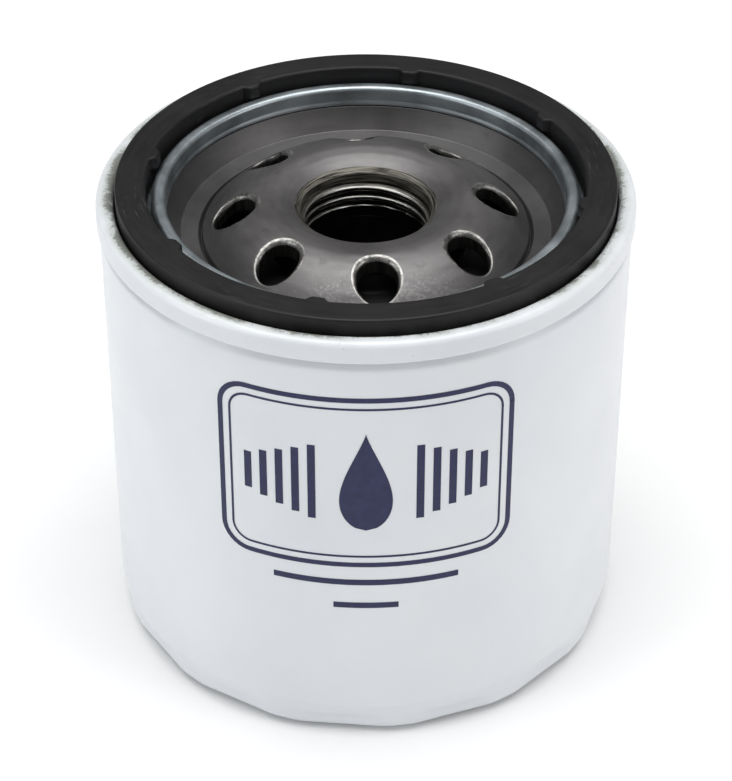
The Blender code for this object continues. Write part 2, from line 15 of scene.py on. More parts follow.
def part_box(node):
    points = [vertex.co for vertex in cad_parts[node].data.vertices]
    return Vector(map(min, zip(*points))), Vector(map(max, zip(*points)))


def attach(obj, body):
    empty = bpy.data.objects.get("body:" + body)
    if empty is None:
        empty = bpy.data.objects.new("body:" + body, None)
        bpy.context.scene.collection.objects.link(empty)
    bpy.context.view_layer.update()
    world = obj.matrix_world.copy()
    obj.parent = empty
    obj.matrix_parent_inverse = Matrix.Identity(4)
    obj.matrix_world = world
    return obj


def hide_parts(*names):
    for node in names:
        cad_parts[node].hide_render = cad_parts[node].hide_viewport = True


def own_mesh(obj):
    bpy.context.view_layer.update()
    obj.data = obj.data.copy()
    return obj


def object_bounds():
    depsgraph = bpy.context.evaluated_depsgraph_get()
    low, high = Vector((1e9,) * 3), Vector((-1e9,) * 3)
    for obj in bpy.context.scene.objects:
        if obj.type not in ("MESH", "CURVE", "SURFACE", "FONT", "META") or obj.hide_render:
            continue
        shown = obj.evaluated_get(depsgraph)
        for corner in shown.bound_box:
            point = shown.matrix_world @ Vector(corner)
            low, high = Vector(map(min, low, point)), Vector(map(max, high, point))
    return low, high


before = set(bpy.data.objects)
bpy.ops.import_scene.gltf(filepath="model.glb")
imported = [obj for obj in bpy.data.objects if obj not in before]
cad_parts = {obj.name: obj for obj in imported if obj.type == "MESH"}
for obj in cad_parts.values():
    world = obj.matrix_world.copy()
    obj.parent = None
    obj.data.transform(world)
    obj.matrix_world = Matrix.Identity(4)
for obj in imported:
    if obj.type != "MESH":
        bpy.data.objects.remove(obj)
cad_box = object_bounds()

MM = 0.001  # metres in a millimetre


# ---- sizes from the frame


def radii(node):
    """A node's smallest and largest distance from the axis, in millimetres."""
    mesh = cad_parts[node].data
    reach = [math.hypot(v.co.x, v.co.y) / MM for v in mesh.vertices]
    return min(reach), max(reach)


def heights(node):
    """A node's lowest and highest point, in millimetres."""
    low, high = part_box(node)
    return low[2] / MM, high[2] / MM


def extent(node):
    """A node's heights and then its radii."""
    return *heights(node), *radii(node)


TOP = heights("gasket")[1]
GASKET_BOTTOM = heights("gasket")[0]
GASKET_OUTER = radii("gasket")[1]
SEAM_RADIUS = radii("seaming_lid")[1]
SEAM_TOP = heights("seaming_lid")[1]
BEAD_INNER = radii("seaming_lid")[0]
BORE_RADIUS = radii("base_plate")[0]
PLATE_RADIUS = radii("base_plate")[1]
COLLAR_BOTTOM = heights("base_plate")[0]
HOOK_TOP = heights("can_shell")[1]

CAN_RADIUS = SEAM_RADIUS - 0.4
CAN_SHEET = 0.30
LID_SHEET = 0.35
SEAM_GAP = 0.10
GASKET_INNER = GASKET_OUTER - 4.3
BEAD_OUTER = BEAD_INNER + 2.1
BEAD_TOP = TOP - 1.95
HEM_END = TOP - 4.8
SEAM_BOTTOM = TOP - 5.3
TROUGH_TOP = TOP - 8.3
TROUGH_INNER = 23.4
TROUGH_OUTER = 26.5
MOUTH_RADIUS = 10.12
MOUTH = TOP - 4.5
INLET_CIRCLE = 18.65
INLET_RADIUS = 2.88
INLET_COUNT = 8
INLET_PHASE = math.radians(4.7)
FLUTE_COUNT = 14
FLUTE_PHASE = math.radians(-5.5)


# ---- mesh tools


def fillet(points, closed=True, steps=5):
    """Round each corner of a section by the radius it states."""
    rounded = []
    count = len(points)
    for i, point in enumerate(points):
        here = Vector(point[:2])
        size = point[2] if len(point) > 2 else 0.0
        if size == 0.0 or (not closed and i in (0, count - 1)):
            rounded.append(tuple(here))
            continue
        back = Vector(points[i - 1][:2]) - here
        ahead = Vector(points[(i + 1) % count][:2]) - here
        half = back.angle(ahead) / 2.0
        reach = min(size / math.tan(half), 0.49 * back.length, 0.49 * ahead.length)
        size = reach * math.tan(half)
        centre = here + (back.normalized() + ahead.normalized()).normalized() * size / math.sin(half)
        start = here + back.normalized() * reach - centre
        end = here + ahead.normalized() * reach - centre
        sweep = start.angle_signed(end)
        for step in range(steps + 1):
            turned = Matrix.Rotation(-sweep * step / steps, 2) @ start
            rounded.append(tuple(centre + turned))
    return rounded


def sheet(points, thickness):
    """The closed section of a sheet whose visible face follows the points.

    The visible face is on the left of the way that the points run.
    """
    path = np.array(points)
    way = np.diff(path, axis=0)
    way /= np.linalg.norm(way, axis=1)[:, None]
    normals = np.stack([way[:, 1], -way[:, 0]], axis=1)
    before = np.vstack([normals[:1], normals])
    after = np.vstack([normals, normals[-1:]])
    mitre = before + after
    mitre /= np.sum(mitre * after, axis=1)[:, None]
    inner = path + mitre * thickness
    inner[:, 0] = np.maximum(inner[:, 0], 0.0)
    return [tuple(p) for p in path] + [tuple(p) for p in inner[::-1]]


def mesh_from(name, vertices, faces, smooth_angle=35.0):
    """A mesh in metres from vertices in millimetres, with outward faces."""
    mesh = bpy.data.meshes.new(name)
    mesh.from_pydata([tuple(v) for v in np.asarray(vertices) * MM], [], faces)
    shape = bmesh.new()
    shape.from_mesh(mesh)
    bmesh.ops.remove_doubles(shape, verts=shape.verts, dist=2e-7)
    bmesh.ops.dissolve_degenerate(shape, edges=shape.edges, dist=1e-8)
    bmesh.ops.recalc_face_normals(shape, faces=shape.faces)
    shape.to_mesh(mesh)
    shape.free()
    mesh.shade_smooth()
    mesh.set_sharp_from_angle(angle=math.radians(smooth_angle))
    return mesh


def lathe_grid(section, segments, phase=0.0, shape=None):
    """Vertices of a section turned about the axis, one column after another."""
    section = np.array(section)
    columns = []
    for i in range(segments):
        angle = phase + math.tau * i / segments
        radius = section[:, 0]
        height = section[:, 1]
        if shape:
            radius, height = shape(radius, height, angle)
        columns.append(np.stack([radius * math.cos(angle), radius * math.sin(angle), height], axis=1))
    return np.concatenate(columns)


def lathe_faces(rows, segments, closed):
    faces = []
    last = rows if closed else rows - 1
    for i in range(segments):
        here = i * rows
        there = (i + 1) % segments * rows
        for j in range(last):
            k = (j + 1) % rows
            faces.append((here + j, there + j, there + k, here + k))
    return faces


def lathe(name, section, segments=256, phase=0.0, shape=None):
    """A closed section turned into a ring, or into a solid where it touches the axis."""
    vertices = lathe_grid(section, segments, phase, shape)
    return mesh_from(name, vertices, lathe_faces(len(section), segments, True))


def place(name, data):
    obj = bpy.data.objects.new(name, data)
    bpy.context.scene.collection.objects.link(obj)
    return obj


def piece(name, mesh, materials, body, replaces=()):
    """Place a finished mesh in the scene and tie it to the frame."""
    obj = place(name, mesh)
    for material in materials:
        mesh.materials.append(material)
    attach(obj, body)
    if replaces:
        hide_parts(*replaces)
    return obj


def turned_piece(name, section, segments, material, body, node):
    """A ring of one material, turned from a section, in place of one CAD node."""
    piece(name, lathe(name, section, segments), [material], body, [node])


def smoothstep(low, high, value):
    """0 below low and 1 above high, with a soft rise between them."""
    share = np.clip((value - low) / (high - low), 0.0, 1.0)
    return share * share * (3.0 - 2.0 * share)


# ---- material tools


class Surface:
    """A Principled material and short ways to add the nodes that vary it."""

    def __init__(self, name, colour, roughness, metallic=0.0, **values):
        self.material = bpy.data.materials.new(name)
        self.material.use_nodes = True
        self.tree = self.material.node_tree
        self.shader = self.tree.nodes["Principled BSDF"]
        self.shader.inputs["Base Color"].default_value = (*colour, 1.0)
        self.shader.inputs["Roughness"].default_value = roughness
        self.shader.inputs["Metallic"].default_value = metallic
        for key, value in values.items():
            self.shader.inputs[key.replace("_", " ")].default_value = value
        self.place = self.node("TexCoord").outputs["Object"]

    def node(self, kind, **settings):
        new = self.tree.nodes.new("ShaderNode" + kind)
        for key, value in settings.items():
            setattr(new, key, value)
        return new

    def feed(self, socket, value):
        if isinstance(value, bpy.types.NodeSocket):
            self.tree.links.new(value, socket)
        else:
            socket.default_value = value

    def maths(self, operation, first, second=0.0):
        new = self.node("Math", operation=operation)
        self.feed(new.inputs[0], first)
        self.feed(new.inputs[1], second)
        return new.outputs[0]

    def times(self, first, second):
        return self.maths("MULTIPLY", first, second)

    def plus(self, first, second):
        return self.maths("ADD", first, second)

    def weighed(self, first, share, second):
        """Two values added up, the first with its share and the second with the rest."""
        return self.plus(self.times(first, share), self.times(second, 1.0 - share))

    def stretched(self, scale):
        """Object coordinates in metres times a scale for each axis."""
        new = self.node("Mapping")
        self.feed(new.inputs["Vector"], self.place)
        new.inputs["Scale"].default_value = scale
        return new.outputs[0]

    def polar(self, across, around, along):
        """(radius, angle, height) coordinates, each with its own scale."""
        x, y, z = self.split()
        join = self.node("CombineXYZ")
        self.feed(join.inputs[0], self.times(self.reach(), across))
        self.feed(join.inputs[1], self.times(self.maths("ARCTAN2", y, x), around))
        self.feed(join.inputs[2], self.times(z, along))
        return join.outputs[0]

    def split(self):
        """Object coordinates x, y and z, in metres."""
        new = self.node("SeparateXYZ")
        self.feed(new.inputs[0], self.place)
        return new.outputs

    def reach(self):
        """Distance from the axis, in metres."""
        x, y, _ = self.split()
        return self.maths("SQRT", self.plus(self.times(x, x), self.times(y, y)))

    def noise(self, scale, detail=3.0, roughness=0.5, vector=None):
        new = self.node("TexNoise")
        self.feed(new.inputs["Vector"], vector or self.place)
        new.inputs["Scale"].default_value = scale
        new.inputs["Detail"].default_value = detail
        new.inputs["Roughness"].default_value = roughness
        return new.outputs["Fac"]

    def spread(self, value, low, high, to_low=0.0, to_high=1.0):
        """Map a range of values onto another, clamped."""
        new = self.node("MapRange")
        self.feed(new.inputs["Value"], value)
        new.inputs["From Min"].default_value = low
        new.inputs["From Max"].default_value = high
        new.inputs["To Min"].default_value = to_low
        new.inputs["To Max"].default_value = to_high
        return new.outputs[0]

    def outward(self, low, high, to_low=0.0, to_high=1.0):
        """A value that changes between two radii, in millimetres."""
        return self.spread(self.reach(), low * MM, high * MM, to_low, to_high)

    def along(self, axis, low, high, to_low=0.0, to_high=1.0):
        """A value that changes between two places on an axis, in millimetres."""
        return self.spread(self.split()[axis], low * MM, high * MM, to_low, to_high)

    def blend(self, share, first, second):
        """A colour between two, each a socket or three numbers."""
        new = self.node("Mix", data_type="RGBA")
        self.feed(new.inputs[0], share)
        for index, colour in ((6, first), (7, second)):
            is_socket = isinstance(colour, bpy.types.NodeSocket)
            self.feed(new.inputs[index], colour if is_socket else (*colour, 1.0))
        return new.outputs[2]

    def colour(self, socket):
        self.feed(self.shader.inputs["Base Color"], socket)

    def tint(self, tone, low, high, dark, light):
        """Colour the surface from dark to light as a tone goes from low to high."""
        self.colour(self.blend(self.spread(tone, low, high), dark, light))

    def roughness(self, socket):
        self.feed(self.shader.inputs["Roughness"], socket)

    def bump(self, height, depth):
        """Bump of a depth in metres; a second call adds to the first."""
        new = self.node("Bump")
        new.inputs["Distance"].default_value = depth
        self.feed(new.inputs["Height"], height)
        normal = self.shader.inputs["Normal"]
        if normal.is_linked:
            self.feed(new.inputs["Normal"], normal.links[0].from_socket)
        self.feed(normal, new.outputs[0])


# ---- materials


def white_paint():
    """Satin baked enamel, slightly uneven, with a fine orange peel."""
    s = Surface("white_enamel", (0.72, 0.74, 0.77), 0.36, Coat_Weight=0.25, Coat_Roughness=0.22)
    cloud = s.noise(60.0, 3.0)
    s.tint(cloud, 0.3, 0.7, (0.70, 0.72, 0.755), (0.745, 0.765, 0.79))
    s.roughness(s.spread(s.noise(220.0, 4.0), 0.3, 0.7, 0.31, 0.42))
    s.bump(s.noise(1400.0, 2.0), 0.000004)
    s.bump(s.noise(90.0, 2.0), 0.00002)
    return s.material


def seam_paint():
    """The enamel over the double seam, soiled and specked along the inner crest."""
    s = Surface("seam_enamel", (0.72, 0.74, 0.77), 0.38, Coat_Weight=0.2, Coat_Roughness=0.25)
    crest = s.outward(SEAM_RADIUS - 2.1, SEAM_RADIUS - 0.8, 1.0, 0.0)
    grain = s.noise(2100.0, 3.0, 0.65)
    patches = s.noise(150.0, 3.0, 0.6)
    rubbed = s.times(crest, s.spread(patches, 0.42, 0.62, 0.20, 0.78))
    worn = s.spread(s.plus(grain, rubbed), 0.66, 0.93, 0.0, 0.85)
    film = s.outward(SEAM_RADIUS - 1.6, SEAM_RADIUS - 0.1, 1.0, 0.0)
    enamel = s.blend(s.spread(s.noise(70.0), 0.3, 0.7), (0.69, 0.71, 0.74), (0.74, 0.76, 0.785))
    soiled = s.times(film, s.spread(patches, 0.35, 0.62, 0.3, 1.0))
    base = s.blend(soiled, enamel, (0.40, 0.43, 0.40))
    s.colour(s.blend(worn, base, (0.13, 0.135, 0.12)))
    s.roughness(s.spread(worn, 0.0, 1.0, 0.36, 0.6))
    s.bump(s.maths("SUBTRACT", s.noise(500.0, 3.0), s.times(worn, 0.6)), 0.00002)
    return s.material


def zinc():
    """Zinc plated sheet, bluish, drawn round the axis."""
    s = Surface("zinc_plate", (0.50, 0.56, 0.60), 0.30, 1.0)
    drawn = s.noise(1.0, 3.0, 0.6, s.polar(2600.0, 6.0, 2600.0))
    cloud = s.noise(160.0, 4.0, 0.6)
    tone = s.weighed(drawn, 0.4, cloud)
    s.tint(tone, 0.35, 0.65, (0.29, 0.325, 0.34), (0.44, 0.485, 0.51))
    s.roughness(s.spread(cloud, 0.3, 0.7, 0.34, 0.52))
    s.bump(drawn, 0.000005)
    s.bump(s.noise(420.0, 3.0), 0.00001)
    return s.material


def phosphate():
    """Dark phosphated steel with handling smudges; fine rubbed specks round the front holes that also
    act as painted glints, and painted shade under the lid's hem and in the trough.
    """
    s = Surface("phosphated_steel", (0.12, 0.115, 0.112), 0.4, 0.8)
    cloud = s.noise(75.0, 5.0, 0.55)
    fine = s.noise(900.0, 3.0, 0.6)
    drawn = s.noise(1.0, 3.0, 0.6, s.polar(900.0, 4.0, 900.0))
    tone = s.weighed(cloud, 0.65, drawn)
    base = s.blend(s.spread(tone, 0.32, 0.68), (0.107, 0.102, 0.102), (0.170, 0.164, 0.164))
    # Rubbed specks kept to the front of the dome, which faces the camera and the light: partly worn
    # steel, partly painted glints.
    front = s.times(s.along(1, -14.0, -21.0), s.outward(17.5, 20.5))
    specks = s.plus(s.noise(2200.0, 3.0, 0.7), s.times(cloud, 0.6))
    rubbed = s.times(front, s.spread(specks, 0.80, 1.0))
    stain = s.spread(s.noise(260.0, 4.0, 0.65), 0.62, 0.72, 0.0, 0.45)
    stained = s.blend(stain, base, (0.055, 0.052, 0.05))
    # Painted shade: darker down the slope under the lid's hem and, less so, on the trough floor.
    slope = s.outward(TROUGH_OUTER - 0.3, TROUGH_OUTER + 0.3)
    hem_shade = s.times(s.along(2, TOP - 7.9, TOP - 5.2, 0.12, 0.55), slope)
    trough_shade = s.times(
        s.outward(TROUGH_INNER - 0.2, TROUGH_INNER + 0.2),
        s.outward(TROUGH_OUTER + 0.1, TROUGH_OUTER - 0.2),
    )
    film = s.plus(hem_shade, s.times(trough_shade, 0.3))
    stained = s.blend(film, stained, (0.035, 0.034, 0.033))
    s.colour(s.blend(s.times(rubbed, 0.22), stained, (0.60, 0.59, 0.58)))
    s.roughness(s.spread(s.plus(cloud, s.times(fine, 0.3)), 0.45, 0.85, 0.38, 0.52))
    s.bump(fine, 0.000006)
    s.bump(s.plus(cloud, s.times(rubbed, 0.3)), 0.00003)
    return s.material


def bare_edge():
    """Steel rubbed nearly bare where the inlet holes' edges rolled over, with painted shade on the
    side away from the axis.
    """
    s = Surface("bare_steel_edge", (0.3, 0.295, 0.285), 0.3, 0.95)
    chatter = s.noise(1700.0, 3.0, 0.7)
    patches = s.noise(260.0, 3.0, 0.6)
    tone = s.weighed(chatter, 0.55, patches)
    steel = s.blend(s.spread(tone, 0.38, 0.62), (0.10, 0.097, 0.094), (0.42, 0.41, 0.39))
    # Painted shade: the rim darkens towards its side away from the axis.
    outer_side_shade = s.outward(INLET_CIRCLE + 0.35, INLET_CIRCLE + 2.75, 0.0, 0.6)
    s.colour(s.blend(outer_side_shade, steel, (0.09, 0.087, 0.084)))
    s.roughness(s.spread(patches, 0.3, 0.7, 0.28, 0.44))
    s.bump(chatter, 0.00001)
    return s.material


def shaded_wall():
    """Sheared wall of an inlet hole, streaked along the punch's way; its near black colour is painted
    shade.
    """
    s = Surface("shaded_sheared_wall", (0.05, 0.048, 0.045), 0.5, 0.6)
    streaks = s.noise(1.0, 3.0, 0.6, s.stretched((2200.0, 2200.0, 250.0)))
    # Near black tones: painted shade inside the hole.
    s.tint(streaks, 0.35, 0.7, (0.006, 0.006, 0.0055), (0.024, 0.023, 0.021))
    s.roughness(s.spread(streaks, 0.3, 0.7, 0.4, 0.6))
    s.bump(streaks, 0.00001)
    return s.material


def cut_thread():
    """Machined thread with a scratched dark mouth; the paler crests are a painted highlight and the
    near black grooves between them are painted shade.
    """
    s = Surface("cut_thread", (0.35, 0.34, 0.32), 0.28, 1.0)
    lines = s.noise(1.0, 2.0, 0.6, s.polar(9000.0, 2.0, 9000.0))
    crest = s.outward(BORE_RADIUS + 0.06, BORE_RADIUS + 0.30, 1.0, 0.0)
    root = s.outward(BORE_RADIUS + 0.25, BORE_RADIUS + 0.65)
    mouth = s.along(2, MOUTH - 2.4, MOUTH - 2.1)
    flank = s.blend(s.spread(lines, 0.40, 0.62), (0.050, 0.048, 0.043), (0.24, 0.235, 0.215))
    turned = s.blend(s.spread(lines, 0.42, 0.60), (0.035, 0.033, 0.028), (0.30, 0.285, 0.25))
    flank = s.blend(mouth, flank, turned)
    # Painted highlight on the crests.
    crest_highlight = s.blend(s.spread(lines, 0.35, 0.65), (0.18, 0.176, 0.165), (0.42, 0.41, 0.39))
    # Painted shade in the grooves between the crests, away from the mouth.
    dark = s.times(root, s.maths("SUBTRACT", 1.0, mouth))
    metal = s.blend(crest, flank, crest_highlight)
    s.colour(s.blend(s.times(dark, 0.9), metal, (0.012, 0.011, 0.010)))
    s.roughness(s.plus(s.spread(lines, 0.3, 0.7, 0.2, 0.4), s.times(mouth, 0.25)))
    s.bump(lines, 0.000015)
    return s.material


def dull_steel():
    """Uncoated steel darkened by oil."""
    s = Surface("oiled_steel", (0.05, 0.048, 0.045), 0.5, 0.7)
    film = s.noise(180.0, 4.0, 0.6)
    s.tint(film, 0.3, 0.7, (0.028, 0.027, 0.026), (0.075, 0.072, 0.068))
    s.roughness(s.spread(film, 0.3, 0.7, 0.42, 0.6))
    s.bump(s.noise(1.0, 3.0, 0.6, s.polar(1500.0, 10.0, 300.0)), 0.000008)
    return s.material


def rubber(name, colour, rough):
    """Moulded black rubber with a fine grain and faint scuffed arcs."""
    s = Surface(name, colour, rough, Specular_IOR_Level=0.30)
    rubbed = s.noise(1.0, 4.0, 0.65, s.polar(1500.0, 5.0, 1500.0))
    cloud = s.noise(110.0, 4.0, 0.6)
    scuff = s.spread(s.noise(1.0, 2.0, 0.6, s.polar(3600.0, 7.0, 3600.0)), 0.62, 0.70)
    scuffed = s.times(scuff, s.spread(s.noise(70.0, 2.0), 0.52, 0.66, 0.0, 0.7))
    light = tuple(c * 1.7 + 0.002 for c in colour)
    tone = s.weighed(rubbed, 0.45, cloud)
    plain = s.blend(s.spread(tone, 0.38, 0.68), colour, light)
    s.colour(s.blend(scuffed, plain, (0.075, 0.077, 0.08)))
    s.roughness(s.spread(tone, 0.35, 0.65, rough - 0.1, rough + 0.1))
    s.bump(s.noise(1300.0, 3.0, 0.6), 0.000012)
    s.bump(s.maths("SUBTRACT", rubbed, scuffed), 0.000008)
    return s.material


def ink():
    """Screen-printed navy ink, a little thinner in places."""
    s = Surface("navy_ink", (0.020, 0.025, 0.105), 0.38, Specular_IOR_Level=0.38)
    thin = s.noise(800.0, 4.0, 0.6)
    s.tint(thin, 0.45, 0.75, (0.010, 0.012, 0.062), (0.018, 0.021, 0.085))
    s.roughness(s.spread(thin, 0.3, 0.7, 0.34, 0.44))
    return s.material


def tinplate():
    """Tin plated pressed steel with a fine drawn grain."""
    s = Surface("tin_plate", (0.55, 0.55, 0.53), 0.28, 1.0)
    drawn = s.noise(1.0, 3.0, 0.6, s.polar(1800.0, 8.0, 1800.0))
    cloud = s.noise(140.0, 4.0, 0.6)
    s.tint(cloud, 0.3, 0.7, (0.42, 0.42, 0.40), (0.60, 0.60, 0.58))
    s.roughness(s.spread(drawn, 0.3, 0.7, 0.22, 0.38))
    s.bump(drawn, 0.000006)
    return s.material


def spring_wire():
    """Oiled, hardened wire, nearly black."""
    s = Surface("spring_wire", (0.16, 0.16, 0.17), 0.3, 1.0)
    scale = s.noise(600.0, 4.0, 0.6)
    s.tint(scale, 0.35, 0.7, (0.12, 0.12, 0.13), (0.26, 0.26, 0.28))
    s.roughness(s.spread(scale, 0.3, 0.7, 0.24, 0.42))
    s.bump(scale, 0.000006)
    return s.material


def paper():
    """Resin-treated filter paper, fibrous and matt."""
    s = Surface("filter_paper", (0.62, 0.46, 0.20), 0.9)
    fibres = s.noise(1.0, 4.0, 0.7, s.stretched((2600.0, 2600.0, 900.0)))
    blotch = s.noise(150.0, 3.0)
    tone = s.weighed(fibres, 0.6, blotch)
    s.tint(tone, 0.35, 0.65, (0.50, 0.35, 0.14), (0.70, 0.54, 0.27))
    s.bump(fibres, 0.00004)
    return s.material


def sealant():
    """Cured plastisol, slightly glossy and lumpy."""
    s = Surface("plastisol", (0.20, 0.24, 0.17), 0.45)
    lumps = s.noise(350.0, 3.0)
    s.tint(lumps, 0.3, 0.7, (0.17, 0.20, 0.14), (0.25, 0.29, 0.21))
    s.roughness(s.spread(lumps, 0.3, 0.7, 0.38, 0.55))
    s.bump(lumps, 0.00006)
    return s.material


def floor_paper():
    s = Surface("pale_floor", (0.93, 0.93, 0.93), 0.9)
    s.colour(s.blend(s.spread(s.noise(30.0), 0.3, 0.7), (0.925, 0.925, 0.925), (0.94, 0.94, 0.94)))
    return s.material


WHITE = white_paint()
SEAM = seam_paint()
ZINC = zinc()
PHOSPHATE = phosphate()
EDGE = bare_edge()
SHADED = shaded_wall()
THREAD = cut_thread()
RUBBER = rubber("gasket_rubber", (0.0058, 0.0054, 0.0057), 0.50)
SOFT_RUBBER = rubber("valve_rubber", (0.009, 0.009, 0.009), 0.42)
INK = ink()
TIN = tinplate()
OILED = dull_steel()
WIRE = spring_wire()
PAPER = paper()
SEALANT = sealant()


# ---- can

# Radii of the double seam's layers, from the outside in.
BODY_HOOK = SEAM_RADIUS - LID_SHEET - SEAM_GAP - CAN_SHEET
COVER_HOOK = BODY_HOOK - SEAM_GAP - LID_SHEET
BODY_WALL = COVER_HOOK - SEAM_GAP
CHUCK_WALL = GASKET_OUTER + 0.2
CURL = (SEAM_RADIUS - COVER_HOOK) / 2.0

FLUTE_TOP = 3.3
FLUTE_STEP = 2.4
CORNER = 2.4
RIDGE = CAN_RADIUS - 0.45


def arc(radius, centre, start, end, steps):
    """Points on an arc between two angles in degrees."""
    angles = np.radians(np.linspace(start, end, steps + 1))
    return [(centre[0] + radius * math.cos(a), centre[1] + radius * math.sin(a)) for a in angles]


def can_path():
    """Outer face, from the hook in the seam down the wall and under the closed end."""
    bend = (BODY_HOOK - BODY_WALL) / 2.0
    bend_centre = (BODY_WALL + bend, HOOK_TOP - CAN_SHEET - bend)
    neck = fillet([
        (BODY_WALL, bend_centre[1]), (BODY_WALL, SEAM_BOTTOM + 0.2, 0.8),
        (CAN_RADIUS, SEAM_BOTTOM - 1.3, 1.6), (CAN_RADIUS, FLUTE_TOP + 1.5 * FLUTE_STEP),
    ], closed=False)
    step_rows = np.linspace(FLUTE_TOP + 1.25 * FLUTE_STEP, CORNER, 26)
    end = fillet([
        (CAN_RADIUS - CORNER, 0.0), (29.2, 0.0, 1.2), (27.6, 1.0, 1.2), (10.0, 1.0), (0.0, 1.0),
    ], closed=False)
    path = [(BODY_HOOK, SEAM_BOTTOM + CURL + 0.4)]
    path += arc(bend, bend_centre, 0.0, 180.0, 6)[:-1]
    path += neck
    path += [(CAN_RADIUS, float(z)) for z in step_rows]
    path += arc(CORNER, (CAN_RADIUS - CORNER, CORNER), 0.0, -90.0, 8)[1:-1]
    path += end
    return path


def flats(radius, height, angle):
    """Press the lower wall from a circle to a polygon with soft ridges."""
    pitch = math.tau / FLUTE_COUNT
    apothem = CAN_RADIUS * math.cos(pitch / 2.0)
    from_middle = (angle - FLUTE_PHASE) % pitch - pitch / 2.0
    flat = apothem / math.cos(from_middle)
    sharpness = 24.0  # per millimetre: how suddenly a flat ends at its ridge
    soft = RIDGE - math.log(1.0 + math.exp(sharpness * (RIDGE - flat))) / sharpness
    press = soft / CAN_RADIUS - 1.0
    fade = 6.0  # width of the closed end's rim over which the flats fade out
    share = np.clip((radius - CAN_RADIUS + CORNER + fade) / fade, 0.0, 1.0)
    depth = np.clip((FLUTE_TOP + FLUTE_STEP - height) / FLUTE_STEP, 0.0, 1.0)
    return radius * (1.0 + press * share * depth), height


def make_can():
    section = sheet(can_path(), CAN_SHEET)
    mesh = lathe("can_body", section, FLUTE_COUNT * 24, FLUTE_PHASE, flats)
    piece("can_body", mesh, [WHITE], "housing", ["can_shell"])


# ---- lid and seam


def make_lid():
    """Seaming lid: zinc bead and channel, and the painted seam over the can's edge."""
    channel = GASKET_BOTTOM - 0.3
    curl_centre = SEAM_BOTTOM + CURL
    path = fillet([
        (BEAD_INNER - 0.02, HEM_END),
        (BEAD_INNER, HEM_END + 0.3, 0.2),
        (BEAD_INNER + 0.12, HEM_END + 0.7, 0.5),
        (BEAD_INNER + 0.1, BEAD_TOP, 0.62),
        (BEAD_OUTER, BEAD_TOP, 0.85),
        (BEAD_OUTER, channel, 0.4),
        (CHUCK_WALL, channel, 0.4),
        (CHUCK_WALL, SEAM_TOP, 1.15),
        (SEAM_RADIUS, SEAM_TOP, 0.95),
        (SEAM_RADIUS, curl_centre + 0.05),
    ], closed=False, steps=8)
    path += arc(CURL, (COVER_HOOK + CURL, curl_centre), 0.0, -180.0, 10)
    path += [(COVER_HOOK, HOOK_TOP - CAN_SHEET - CURL)]
    mesh = lathe("lid_and_seam", sheet(path, LID_SHEET), 288, FLUTE_PHASE)
    obj = piece("lid_and_seam", mesh, [ZINC, SEAM], "housing", ["seaming_lid"])
    for face in obj.data.polygons:
        spot = face.center / MM
        reach = spot.xy.length
        on_seam = reach > CHUCK_WALL + 0.1 or spot.z > SEAM_TOP - 0.75
        face.material_index = int(on_seam and reach > BEAD_OUTER + 1.0)


# ---- gasket

LUG_COUNT = 8
LUG_PHASE = math.radians(-12.0)
LUG_DEPTH = 0.85


def lugs(radius, height, angle):
    """Small lugs inside the gasket's upper edge, which grip the bead."""
    pitch = math.tau / LUG_COUNT
    from_lug = abs((angle - LUG_PHASE + pitch / 2.0) % pitch - pitch / 2.0) * GASKET_INNER
    width = 1.0 - smoothstep(0.9, 1.5, from_lug)
    inner_side = 1.0 - smoothstep(GASKET_INNER + 0.4, GASKET_INNER + 1.2, radius)
    upper = smoothstep(TOP - 2.6, TOP - 2.0, height)
    return radius - LUG_DEPTH * width * inner_side * upper, height


def make_gasket():
    wall = [(GASKET_INNER, float(z)) for z in np.linspace(GASKET_BOTTOM + 0.6, TOP - 0.5, 14)]
    section = fillet([
        (GASKET_INNER + 0.8, TOP), (GASKET_OUTER - 0.8, TOP), (GASKET_OUTER, TOP, 0.45),
        (GASKET_OUTER, TOP - 1.9), (GASKET_OUTER, GASKET_BOTTOM, 0.3),
        (GASKET_INNER, GASKET_BOTTOM, 0.3),
    ], closed=False)[:-1]
    section += wall
    section += arc(0.42, (GASKET_INNER + 0.42, TOP - 0.42), 180.0, 90.0, 5)[1:]
    mesh = lathe("gasket_ring", section, 512, 0.0, lugs)
    piece("gasket_ring", mesh, [RUBBER], "housing", ["gasket"])


# ---- base plate

PLATE_SEGMENTS = 160
CELL_INNER = 14.2
CELL_OUTER = 22.9
RIM = 0.70  # rolled edge of an inlet hole
PITCH = 25.4 / 16.0
THREAD_DEPTH = 19.05 / 2.0 - BORE_RADIUS
FLANGE_TOP = TOP - 6.0
LEDGE = TOP - 8.05
PLATE = 2.0

TOP_PATH = fillet([
    (PLATE_RADIUS, FLANGE_TOP),
    (30.0, FLANGE_TOP, 0.1),
    (29.7, HEM_END - 0.2, 0.1),
    (BEAD_INNER + 0.05, HEM_END - 0.2, 0.3),
    (TROUGH_OUTER + 0.05, LEDGE - 0.1, 0.16),
    (24.05, TROUGH_TOP - 0.25, 0.2),
    (23.62, TROUGH_TOP - 1.1, 0.05),
    (TROUGH_INNER, TROUGH_TOP, 0.1),
    (22.5, TOP - 7.4, 1.5),
    (21.0, TOP - 5.96, 4.0),
    (19.0, TOP - 4.54, 5.0),
    (17.0, TOP - 3.61, 5.0),
    (15.2, TOP - 3.13, 4.0),
    (13.8, TOP - 3.13, 4.0),
    (12.2, TOP - 3.52, 4.0),
    (11.1, TOP - 3.97, 4.0),
    (MOUTH_RADIUS + 0.06, MOUTH + 0.03, 0.1),
    (MOUTH_RADIUS - 0.08, MOUTH - 0.1),
], closed=False, steps=8)
